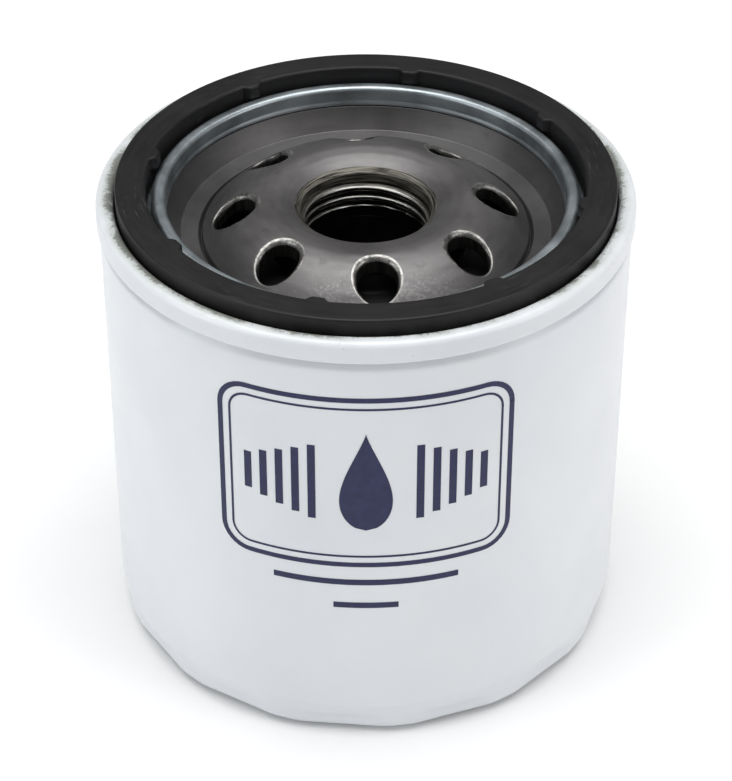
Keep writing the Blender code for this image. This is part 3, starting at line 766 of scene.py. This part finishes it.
UNDER_PATH = fillet([
    (9.6, COLLAR_BOTTOM), (12.2, COLLAR_BOTTOM, 0.4), (12.2, TOP - 5.05, 0.8),
    (17.95, TOP - 6.3, 4.0), (19.85, TOP - 7.7, 4.0), (22.5, TROUGH_TOP - PLATE, 1.5),
    (27.4, TROUGH_TOP - PLATE, 1.5), (29.6, FLANGE_TOP - PLATE, 1.5),
    (PLATE_RADIUS, FLANGE_TOP - PLATE),
], closed=False)


def level(path, radius):
    """Height of a surface at a radius, for a path whose radius runs one way there."""
    points = np.array(sorted((p for p in path if CELL_INNER - 3.0 < p[0])))
    return np.interp(radius, points[:, 0], points[:, 1])


def thread_radius(height, angle):
    """Right-hand thread: flat crest, 60 degree flanks and a narrow root."""
    turn = ((height - COLLAR_BOTTOM) / PITCH - angle / math.tau + 0.5) % 1.0
    from_crest = np.abs(turn - 0.5) * 2.0
    groove = smoothstep(0.24, 0.88, from_crest)
    plain = smoothstep(MOUTH - 2.5, MOUTH - 2.1, height)
    groove = groove * (1.0 - plain) + 0.85 * plain
    mouth_cone = MOUTH_RADIUS - (MOUTH - height)
    foot_cone = BORE_RADIUS + 0.8 - (height - COLLAR_BOTTOM)
    return np.maximum(BORE_RADIUS + THREAD_DEPTH * groove, np.maximum(mouth_cone, foot_cone))


def cut(radius, height, angle):
    """Leave a section as it is, but cut the thread into the rows of its bore."""
    bore = (radius < BORE_RADIUS + 0.01) & (height < MOUTH)
    return np.where(bore, thread_radius(height, angle), radius), height


def holed_cell(middle_angle, count, steps, hole_sizes, ring, top, bottom):
    """One sector of a ring with a round hole: rows of points from its edge to the hole and back.

    hole_sizes are the hole's distance from the axis, its radius and that of its rolled edge. top
    and bottom give the height of each face at a distance from the axis.
    """
    circle, hole, rim = hole_sizes
    inner, outer = ring
    side_steps = 12
    half = math.pi / count
    edge = [(outer, a) for a in np.linspace(-half, half, steps + 1)[:-1]]
    edge += [(r, half) for r in np.linspace(outer, inner, side_steps + 1)[:-1]]
    edge += [(inner, a) for a in np.linspace(half, -half, steps + 1)[:-1]]
    edge += [(r, -half) for r in np.linspace(inner, outer, side_steps + 1)[:-1]]
    edge = np.array([(r * math.cos(a), r * math.sin(a)) for r, a in edge])
    middle = np.array((circle, 0.0))
    spokes = edge - middle
    direction = np.unwrap(np.arctan2(spokes[:, 1], spokes[:, 0]))
    even = direction[0] + np.arange(len(edge)) * math.tau / len(edge)
    direction = 0.5 * direction + 0.5 * even
    spoke = np.stack([np.cos(direction), np.sin(direction)], axis=1)
    rows = []

    def add(points, surface, drop=0.0):
        reach = np.hypot(points[:, 0], points[:, 1])
        rows.append(np.column_stack([points, surface(reach) - drop]))

    for share in np.linspace(1.0, 0.0, 12):
        add(middle + spoke * (hole + rim) * (1.0 - share) + spokes * share, top)
    roll = rim * (1.1 + 1.7 * np.maximum(spoke[:, 0], 0.0))
    for turn in np.linspace(0.0, math.pi / 2.0, 10)[1:]:
        radius = hole + rim * (1.0 - math.sin(turn))
        add(middle + spoke * radius, top, roll * (1.0 - math.cos(turn)))
    for share in np.linspace(0.0, 1.0, 7):
        add(middle + spoke * hole * (1.0 - share) + spokes * share, bottom)
    points = np.concatenate(rows)
    turned = points.copy()
    cosine, sine = math.cos(middle_angle), math.sin(middle_angle)
    turned[:, 0] = points[:, 0] * cosine - points[:, 1] * sine
    turned[:, 1] = points[:, 0] * sine + points[:, 1] * cosine
    return turned, grid_faces(len(rows), len(edge))


def grid_faces(rows, columns):
    """Faces between rows of points, each row a closed loop."""
    faces = []
    for row in range(rows - 1):
        for k in range(columns):
            m = (k + 1) % columns
            here, there = row * columns, (row + 1) * columns
            faces.append((here + k, here + m, there + m, there + k))
    return faces


class Patches:
    """Gathers patches of points and faces that mesh_from then joins where they meet."""

    def __init__(self):
        self.points = []
        self.faces = []
        self.count = 0

    def add(self, points, faces):
        self.faces += [tuple(self.count + k for k in face) for face in faces]
        self.points.append(np.asarray(points))
        self.count += len(points)

    def add_turned(self, section, segments, phase, shape=None):
        """Add an open section turned about the axis."""
        faces = lathe_faces(len(section), segments, False)
        self.add(lathe_grid(section, segments, phase, shape), faces)

    def mesh(self, name, smooth_angle):
        return mesh_from(name, np.concatenate(self.points), self.faces, smooth_angle)


def make_plate():
    """Tapping plate: turned flange and collar round a domed ring with eight inlet holes."""
    phase = INLET_PHASE - math.pi / INLET_COUNT
    dome_in = [p for p in TOP_PATH if p[0] < CELL_INNER - 0.01]
    dome_out = [p for p in TOP_PATH if p[0] > CELL_OUTER + 0.01]
    under_in = [p for p in UNDER_PATH if p[0] < CELL_INNER - 0.01]
    under_out = [p for p in UNDER_PATH if p[0] > CELL_OUTER + 0.01]
    bore_rows = np.linspace(MOUTH - 0.1, COLLAR_BOTTOM, 96)
    inner = [(CELL_INNER, float(level(TOP_PATH, CELL_INNER)))]
    inner += dome_in[:-1]
    inner += [(BORE_RADIUS, float(z)) for z in bore_rows]
    inner += under_in
    inner += [(CELL_INNER, float(level(UNDER_PATH, CELL_INNER)))]
    outer = [(CELL_OUTER, float(level(UNDER_PATH, CELL_OUTER)))]
    outer += under_out
    outer += dome_out
    outer += [(CELL_OUTER, float(level(TOP_PATH, CELL_OUTER)))]

    def dome(reach):
        return level(TOP_PATH, reach)

    def under(reach):
        return level(UNDER_PATH, reach)

    patches = Patches()
    patches.add_turned(inner, PLATE_SEGMENTS, phase, cut)
    patches.add_turned(outer, PLATE_SEGMENTS, phase)
    angles = [INLET_PHASE + index * math.tau / INLET_COUNT for index in range(INLET_COUNT)]
    steps = PLATE_SEGMENTS // INLET_COUNT
    hole = (INLET_CIRCLE, INLET_RADIUS, RIM)
    ring = (CELL_INNER, CELL_OUTER)
    for angle in angles:
        patches.add(*holed_cell(angle, INLET_COUNT, steps, hole, ring, dome, under))
    mesh = patches.mesh("tapping_plate", 50.0)
    looks = [PHOSPHATE, EDGE, THREAD, SHADED]
    obj = piece("tapping_plate", mesh, looks, "housing", ["base_plate"])
    middles = [Vector((math.cos(a), math.sin(a))) * INLET_CIRCLE for a in angles]
    for face in obj.data.polygons:
        spot = face.center.xy / MM
        from_hole = min((spot - m).length for m in middles) - INLET_RADIUS
        if spot.length < MOUTH_RADIUS - 0.02 and face.center.z < MOUTH * MM:
            face.material_index = looks.index(THREAD)
        elif from_hole < 0.02:
            face.material_index = looks.index(SHADED)
        elif from_hole < RIM * 1.05 and face.normal.z > 0.0:
            face.material_index = looks.index(EDGE)


# ---- anti-drain valve


def make_anti_drain_valve():
    low, high, bore, lip = extent("anti_drain_valve")
    lip_top = TROUGH_TOP - PLATE - 0.3
    section = fillet([
        (bore + 1.3, high, 0.3), (bore + 2.1, lip_top + 0.7, 0.8),
        (21.1, lip_top - 0.7, 2.5), (24.3, lip_top, 0.8), (lip, lip_top, 0.35),
        (lip, lip_top - 0.8, 0.35), (24.3, lip_top - 0.8, 0.8), (21.1, lip_top - 1.5, 2.0),
        (17.5, lip_top - 1.3, 0.4), (17.5, lip_top - 2.5, 0.3),
        (bore + 1.1, lip_top - 2.5, 0.3), (bore + 1.1, low, 0.3), (bore, low, 0.3),
        (bore, high, 0.3),
    ])
    flap = lathe("anti_drain_flap", section, 160)
    piece("anti_drain_flap", flap, [SOFT_RUBBER], "housing", ["anti_drain_valve"])


# ---- element

ELEMENT_SHEET = 0.5
PLEAT_COUNT = 44
PAPER_THICKNESS = 0.5


def make_caps():
    """End caps with a skirt and a shallow bead; thin is the sheet they are pressed from."""
    thin = ELEMENT_SHEET
    low, high, hole, rim = extent("element_top_cap")
    bead = [(28.0, 0.0), (27.3, -0.15), (20.6, -0.15), (19.9, 0.0)]
    top = fillet(
        [(rim, high, 0.9), (rim, low, 0.15), (rim - thin, low, 0.15), (rim - thin, high - thin, 0.4)]
        + [(radius, high - thin + z, 1.0) for radius, z in bead]
        + [(hole, high - thin, 0.15), (hole, high, 0.25)]
        + [(radius, high + z, 1.0) for radius, z in bead[::-1]]
    )
    turned_piece("pressed_top_cap", top, 192, TIN, "element", "element_top_cap")
    low, high, collar, rim = extent("element_bottom_cap")
    bead = [(24.0, 0.0), (23.0, 0.25), (18.5, 0.25), (17.5, 0.0)]
    bottom = fillet(
        [(rim, high, 0.15), (rim, low, 0.9)]
        + [(radius, low + z, 1.0) for radius, z in bead]
        + [(collar, low, 0.8), (collar, high, 0.15)]
        + [(collar + thin, high, 0.15), (collar + thin, low + thin, 0.3)]
        + [(radius, low + thin + z, 1.0) for radius, z in bead[::-1]]
        + [(rim - thin, low + thin, 0.4), (rim - thin, high, 0.15)]
    )
    turned_piece(
        "pressed_bottom_cap", bottom, 192, TIN, "element", "element_bottom_cap"
    )


def make_pottings():
    """Rings of sealant, with a face that rose and fell a little as it set."""

    def wavy(radius, height, angle):
        swell = 0.05 * math.sin(7.0 * angle) + 0.04 * math.sin(16.0 * angle + 1.0)
        edge = np.abs(radius - outer) < 0.5
        return np.where(edge, radius - 0.1 + swell, radius), height

    for node in ("top_potting", "bottom_potting"):
        low, high, inner, outer = extent(node)
        corners = [(outer, high), (outer, low), (inner, low), (inner, high)]
        section = fillet([(*corner, 0.3) for corner in corners])
        mesh = lathe("cured_" + node, section, 192, 0.0, wavy)
        piece("cured_" + node, mesh, [SEALANT], "element", [node])


def pleat_edge(outer, inner, half_paper, outer_fold, inner_fold):
    """One edge of the folded paper, seen from above, with rounded folds."""
    wall_angle = math.tau / PLEAT_COUNT / 4.0
    points = []
    for i in range(PLEAT_COUNT):
        turn = Matrix.Rotation(i * math.tau / PLEAT_COUNT, 2)
        for radius, side, fold in (
            (inner, -1.0, inner_fold),
            (outer, -1.0, outer_fold),
            (outer, 1.0, outer_fold),
            (inner, 1.0, inner_fold),
        ):
            sideways = side * (radius * math.sin(wall_angle) + half_paper)
            spot = turn @ Vector((radius * math.cos(wall_angle), sideways))
            points.append((spot.x, spot.y, fold))
    return fillet(points, steps=6)


def make_media():
    low, high, inner, outer = extent("pleated_media")
    half = PAPER_THICKNESS / 2.0
    outside = pleat_edge(outer, inner + PAPER_THICKNESS, half, 1.15, 0.30)
    inside = pleat_edge(outer - PAPER_THICKNESS, inner, -half, 0.75, 0.42)
    levels = np.linspace(low, high, 13)
    rows = [(x, y, up) for up in levels for x, y in outside]
    rows += [(x, y, up) for up in levels[::-1] for x, y in inside]
    rows += [(x, y, low) for x, y in outside]
    mesh = mesh_from("folded_paper", rows, grid_faces(2 * len(levels) + 1, len(outside)), 50.0)
    piece("folded_paper", mesh, [PAPER], "element", ["pleated_media"])


def make_clip():
    """Folded channel over the fold where the paper's ends meet."""
    low, high = heights("media_seam_clip")
    corners = [v.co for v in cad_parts["media_seam_clip"].data.vertices]
    back = max(corner.x for corner in corners) / MM
    front = min(corner.x for corner in corners) / MM
    half = max(corner.y for corner in corners) / MM
    path = fillet([(front, half), (back, half, 0.8), (back, -half, 0.8), (front, -half)], False, 6)
    outline = sheet_flat(path, 0.4)
    levels = np.linspace(low, high, 9)
    count = len(outline)
    patches = Patches()
    patches.add([(x, y, up) for up in levels for x, y in outline], grid_faces(len(levels), count))
    ends = [(k, k + 1, count - 2 - k, count - 1 - k) for k in range(len(path) - 1)]
    for up in (low, high):
        patches.add([(x, y, up) for x, y in outline], ends)
    mesh = patches.mesh("seam_channel", 40.0)
    piece("seam_channel", mesh, [TIN], "element", ["media_seam_clip"])


def sheet_flat(points, thickness):
    """The closed outline of a strip whose outer face follows the points."""
    path = np.array(points)
    way = np.gradient(path, axis=0)
    way /= np.linalg.norm(way, axis=1)[:, None]
    normals = np.stack([way[:, 1], -way[:, 0]], axis=1)
    inner = path + normals * thickness
    return [tuple(p) for p in path] + [tuple(p) for p in inner[::-1]]


def punched_tube(outer, wall, low, high, rows, columns, hole):
    """A tube with rows of holes; rows are (height, half height of its band).

    hole gives the distance from a hole's middle to its edge in a direction.
    """
    patches = Patches()
    mean = outer - wall / 2.0
    steps = 14
    half_width = mean * math.pi / columns
    shares = np.linspace(-1, 1, steps + 1)[:-1]

    def on_tube(flat, radius, turn):
        angle = turn + flat[:, 0] / mean
        return np.column_stack([radius * np.cos(angle), radius * np.sin(angle), flat[:, 1]])

    marks = [low]
    for height, half_height in rows:
        for column in range(columns):
            turn = column * math.tau / columns
            edge = [(half_width * k, -half_height) for k in shares]
            edge += [(half_width, half_height * k) for k in shares]
            edge += [(-half_width * k, half_height) for k in shares]
            edge += [(-half_width, -half_height * k) for k in shares]
            edge = np.array(edge)
            direction = np.arctan2(edge[:, 1], edge[:, 0])
            inside = np.array([(hole(a) * math.cos(a), hole(a) * math.sin(a)) for a in direction])
            grid = []
            for radius, way in ((outer, -1), (outer - wall, 1)):
                for share in np.linspace(0.0, 1.0, 6)[::way]:
                    flat = edge * share + inside * (1.0 - share) + (0.0, height)
                    grid.append(on_tube(flat, radius, turn))
            patches.add(np.concatenate(grid), grid_faces(len(grid), len(edge)))
        marks += [height - half_height, height + half_height]
    marks.append(high)
    around = columns * steps
    start = -math.pi / columns
    for bottom, top in zip(marks[::2], marks[1::2]):
        if top - bottom < 0.01:
            continue
        for radius in (outer, outer - wall):
            section = [(radius, float(z)) for z in np.linspace(bottom, top, 4)]
            patches.add_turned(section, around, start)
    return patches, start, around


def make_tube():
    low, high, inner, outer = extent("centre_tube")
    rows = [(z, 4.0) for z in np.linspace(heights("bypass_valve_cage")[1] + 3.0, high - 6.0, 4)]
    patches, start, around = punched_tube(outer, outer - inner, low, high, rows, 6, lambda a: 2.2)
    for up in (low, high):
        patches.add_turned([(inner, up), (outer, up)], around, start)
    mesh = patches.mesh("perforated_tube", 40.0)
    piece("perforated_tube", mesh, [OILED], "element", ["centre_tube"])


def make_spring_seat():
    low, high, inner, outer = extent("spring_seat")
    section = fillet([
        (outer, high, 0.2), (outer, high - ELEMENT_SHEET, 0.2),
        (inner + ELEMENT_SHEET, high - ELEMENT_SHEET, 0.5),
        (inner + ELEMENT_SHEET, low, 0.15), (inner, low, 0.15), (inner, high, 0.8),
    ])
    turned_piece("pressed_spring_seat", section, 128, TIN, "element", "spring_seat")


def coil(name, radius, wire, low, high, turns):
    """A compression spring of round wire whose end turns lie flat."""
    steps = int(turns * 56)
    sides = 14
    along = np.linspace(0.0, turns, steps + 1)
    rise = np.interp(along, [0.0, 0.35, turns - 0.35, turns], [0.0, 0.02, 0.98, 1.0])
    soft = np.convolve(np.pad(rise, 8, mode="edge"), np.ones(17) / 17.0, mode="valid")
    soft = (soft - soft[0]) / (soft[-1] - soft[0])
    heights_along = low + wire + (high - low - 2.0 * wire) * soft
    angles = along * math.tau
    centres = np.column_stack([radius * np.cos(angles), radius * np.sin(angles), heights_along])
    way = np.gradient(centres, axis=0)
    way /= np.linalg.norm(way, axis=1)[:, None]
    out = np.column_stack([np.cos(angles), np.sin(angles), np.zeros_like(angles)])
    up = np.cross(way, out)
    points = []
    for centre, across, upward in zip(centres, out, up):
        for k in range(sides):
            turn = math.tau * k / sides
            points.append(centre + wire * (across * math.cos(turn) + upward * math.sin(turn)))
    faces = grid_faces(steps + 1, sides)
    faces.append(tuple(range(sides)))
    faces.append(tuple(steps * sides + k for k in range(sides)))
    return mesh_from(name, points, faces, 50.0)


def make_springs():
    low, high, inner, outer = extent("element_spring")
    wire = (outer - inner) / 2.0
    mesh = coil("element_coil", outer - wire, wire, low, high, 2.6)
    obj = piece("element_coil", mesh, [WIRE], "housing", ["element_spring"])
    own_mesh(obj)
    low, high, inner, outer = extent("bypass_valve_spring")
    wire = (outer - inner) / 2.0
    mesh = coil("bypass_coil", outer - wire, wire, low, high, 4.0)
    obj = piece("bypass_coil", mesh, [WIRE], "element", ["bypass_valve_spring"])
    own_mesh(obj)


# ---- bypass valve


def make_valve_seat():
    low, high, bore, outer = extent("bypass_valve_seat")
    ports = 6
    steps = 16
    around = ports * steps
    phase = -math.pi / ports

    def top(reach):
        return np.full_like(reach, high)

    def bottom(reach):
        return np.full_like(reach, low)

    patches = Patches()
    middle = fillet([(4.2, high), (bore, high, 0.12), (bore, low, 0.12), (4.2, low)], closed=False)
    rim = fillet([(8.8, low), (outer, low, 0.15), (outer, high, 0.15), (8.8, high)], closed=False)
    for section in (middle, rim):
        patches.add_turned(section, around, phase)
    for k in range(ports):
        angle = k * math.tau / ports
        patches.add(*holed_cell(angle, ports, steps, (6.5, 1.5, 0.12), (4.2, 8.8), top, bottom))
    mesh = patches.mesh("ported_seat", 40.0)
    piece("ported_seat", mesh, [TIN], "element", ["bypass_valve_seat"])


def make_poppet():
    low, high, bore, outer = extent("bypass_valve_seal")
    section = fillet([(outer, high, 0.25), (outer, low, 0.25), (bore, low, 0.2), (bore, high, 0.2)])
    washer = lathe("seal_washer", section, 128)
    piece("seal_washer", washer, [SOFT_RUBBER], "bypass_valve", ["bypass_valve_seal"])
    low, high, bore, outer = extent("bypass_valve_disc")
    section = fillet([
        (outer, high, 0.2), (outer, low, 0.6), (bore, low, 0.1), (bore, low + 0.6, 0.1),
        (outer - 0.6, low + 0.6, 0.3), (outer - 0.6, high, 0.2),
    ])
    disc = lathe("dished_disc", section, 128)
    piece("dished_disc", disc, [TIN], "bypass_valve", ["bypass_valve_disc"])
    low, high = heights("bypass_valve_stem")
    outer = radii("bypass_valve_stem")[1]
    disc_top = heights("bypass_valve_disc")[0] + 0.6
    section = fillet([
        (0.0, high), (1.4, high, 0.5), (1.4, disc_top + 1.1, 0.2),
        (outer, disc_top + 1.1, 0.25), (outer, disc_top + 0.3, 0.25),
        (1.4, disc_top + 0.3, 0.1), (1.4, low, 0.5), (0.0, low),
    ])
    turned_piece("guide_stem", section, 64, TIN, "bypass_valve", "bypass_valve_stem")


def make_cage():
    low, high, hole, outer = extent("bypass_valve_cage")
    wall = 0.6
    middle = (low + high - wall) / 2.0

    def window(angle):
        across = 4.6 / max(abs(math.cos(angle)), 1e-6)
        along = 3.0 / max(abs(math.sin(angle)), 1e-6)
        return (across ** -6.0 + along ** -6.0) ** (-1.0 / 6.0)

    shoulder = high - 1.2
    patches, start, around = punched_tube(outer, wall, low, shoulder, [(middle, 4.2)], 4, window)
    crown = fillet([
        (outer - wall, shoulder), (outer - wall, high - wall, 0.5),
        (hole, high - wall, 0.1), (hole, high, 0.2), (outer, high, 1.0), (outer, shoulder),
    ], closed=False)
    patches.add_turned(crown, around, start)
    patches.add_turned([(outer - wall, low), (outer, low)], around, start)
    mesh = patches.mesh("valve_cage", 40.0)
    piece("valve_cage", mesh, [TIN], "element", ["bypass_valve_cage"])


# ---- printed mark

FILM = 0.02  # the ink stands this far off the paint
FILM_THICKNESS = 0.015


def wrap(name, quads_by_shape):
    """Flat shapes, as (arc length, height) quads, laid on the can as a thin film."""
    vertices = []
    faces = []
    for rows, columns, points in quads_by_shape:
        for radius in (CAN_RADIUS + FILM + FILM_THICKNESS, CAN_RADIUS + FILM):
            for across, up in points:
                angle = across / CAN_RADIUS - math.pi / 2.0
                vertices.append((radius * math.cos(angle), radius * math.sin(angle), up))
        start = len(vertices) - 2 * len(points)
        back = start + len(points)
        border = {}
        for i in range(rows - 1):
            for j in range(columns - 1):
                a = i * columns + j
                quad = (a, a + 1, a + columns + 1, a + columns)
                faces.append(tuple(start + k for k in quad))
                faces.append(tuple(back + k for k in reversed(quad)))
                for k in range(4):
                    edge = (quad[k], quad[(k + 1) % 4])
                    if (edge[1], edge[0]) in border:
                        del border[(edge[1], edge[0])]
                    else:
                        border[edge] = True
        for a, b in border:
            faces.append((start + b, start + a, back + a, back + b))
    return mesh_from(name, vertices, faces, 60.0)


def band(points, width):
    """A line of even width along points, as a grid two vertices wide."""
    step = 0.5
    path = [np.array(points[0], float)]
    for a, b in zip(points[:-1], points[1:]):
        a, b = np.array(a, float), np.array(b, float)
        pieces = max(1, math.ceil(np.linalg.norm(b - a) / step))
        path += [a + (b - a) * k / pieces for k in range(1, pieces + 1)]
    path = np.array(path)
    way = np.gradient(path, axis=0)
    if np.allclose(path[0], path[-1]):
        way[0] = way[-1] = path[1] - path[-2]
    way /= np.linalg.norm(way, axis=1)[:, None]
    side = np.stack([-way[:, 1], way[:, 0]], axis=1) * width / 2.0
    grid = np.stack([path - side, path + side], axis=1).reshape(-1, 2)
    return len(path), 2, [tuple(p) for p in grid]


def filled(outline_width, low, high):
    """A solid shape that is symmetric about the middle, from its width at each height."""
    rows, columns = 40, 13
    points = []
    for up in np.linspace(low, high, rows):
        half = outline_width((up - low) / (high - low)) / 2.0
        points += [(half * k, up) for k in np.linspace(-1.0, 1.0, columns)]
    return rows, columns, points


def rounded_frame(low, high, half_width, corner, width):
    points = []
    for cx, cy, start in (
        (half_width - corner, high - corner, 0.0),
        (-half_width + corner, high - corner, 90.0),
        (-half_width + corner, low + corner, 180.0),
        (half_width - corner, low + corner, 270.0),
    ):
        points += arc(corner, (cx, cy), start, start + 90.0, 8)
    points.append(points[0])
    return band(points, width)


def drop_width(share):
    """Width of an oil drop, from its round bottom to its pointed top."""
    tall = 1.0 - share
    return 9.4 * math.sqrt(max(0.0, math.sin(math.pi * tall ** 1.25))) * tall ** 0.55 + 0.02


def make_print():
    """A generic mark: an oil drop between upright bars in a frame, over two plain bars."""
    mark_top = 61.0
    mark_bottom = 32.6
    half_width = 20.8
    shapes = [rounded_frame(mark_bottom, mark_top, half_width, 4.0, 0.8)]
    shapes.append(rounded_frame(mark_bottom + 1.5, mark_top - 1.5, half_width - 1.5, 2.8, 0.35))
    middle = (mark_top + mark_bottom) / 2.0
    shapes.append(filled(drop_width, middle - 8.0, middle + 8.6))
    for side in (-1.0, 1.0):
        for k in range(5):
            across = side * (7.5 + 2.3 * k)
            half = 6.3 - 0.8 * k
            shapes.append(band([(across, middle - half), (across, middle + half)], 1.1))
    for low, half in ((29.4, 13.2), (25.2, 4.6)):
        shapes.append(band([(-half, low), (half, low)], 1.0))
    piece("printed_mark", wrap("printed_mark", shapes), [INK], "housing")


# ---- build

make_can()
make_lid()
make_gasket()
make_plate()
make_anti_drain_valve()
make_caps()
make_pottings()
make_media()
make_clip()
make_tube()
make_spring_seat()
make_springs()
make_valve_seat()
make_poppet()
make_cage()
make_print()


# ---- stage, light and camera

LENS = 123.6  # mm on a 36 mm sensor
CAMERA_DISTANCE = 0.40216
CAMERA_ELEVATION = math.radians(36.416)
AIM = TOP - 37.588  # height that the camera looks at, in millimetres


def make_floor():
    mesh = bpy.data.meshes.new("floor")
    shape = bmesh.new()
    bmesh.ops.create_grid(shape, x_segments=8, y_segments=8, size=3.0)
    shape.to_mesh(mesh)
    shape.free()
    mesh.materials.append(floor_paper())
    floor = place("floor", mesh)
    floor.location.z = cad_box[0][2] - 0.0002


def softbox(name, spot, size, power, colour=(1.0, 1.0, 1.0)):
    """A soft light at a spot, turned towards the filter's middle."""
    light = bpy.data.lights.new(name, "AREA")
    light.shape = "RECTANGLE"
    light.size, light.size_y = size
    light.energy = power
    light.color = colour
    obj = place(name, light)
    obj.location = spot
    towards = Vector((0.0, 0.0, 0.04)) - Vector(spot)
    obj.rotation_euler = towards.to_track_quat("-Z", "Y").to_euler()


def make_camera():
    data = bpy.data.cameras.new("camera")
    data.lens = LENS
    data.sensor_width = 36.0
    obj = place("camera", data)
    aim = Vector((0.0, 0.0, AIM * MM))
    back = Vector((0.0, -math.cos(CAMERA_ELEVATION), math.sin(CAMERA_ELEVATION)))
    obj.location = aim + back * CAMERA_DISTANCE
    obj.rotation_euler = (-back).to_track_quat("-Z", "Y").to_euler()
    bpy.context.scene.camera = obj


def make_world():
    world = bpy.data.worlds.new("studio")
    world.use_nodes = True
    background = world.node_tree.nodes["Background"]
    background.inputs["Color"].default_value = (1.0, 1.0, 1.0, 1.0)
    background.inputs["Strength"].default_value = 0.22
    bpy.context.scene.world = world
    bpy.context.scene.view_settings.view_transform = "Standard"


make_floor()
make_world()
make_camera()
softbox("top_light", (0.0, 0.0, 0.85), (0.9, 0.7), 8.0)
softbox("left_light", (-0.75, -0.32, 0.30), (0.4, 0.6), 2.1, (0.95, 0.98, 1.0))
softbox("right_light", (0.75, -0.32, 0.30), (0.4, 0.6), 1.9)
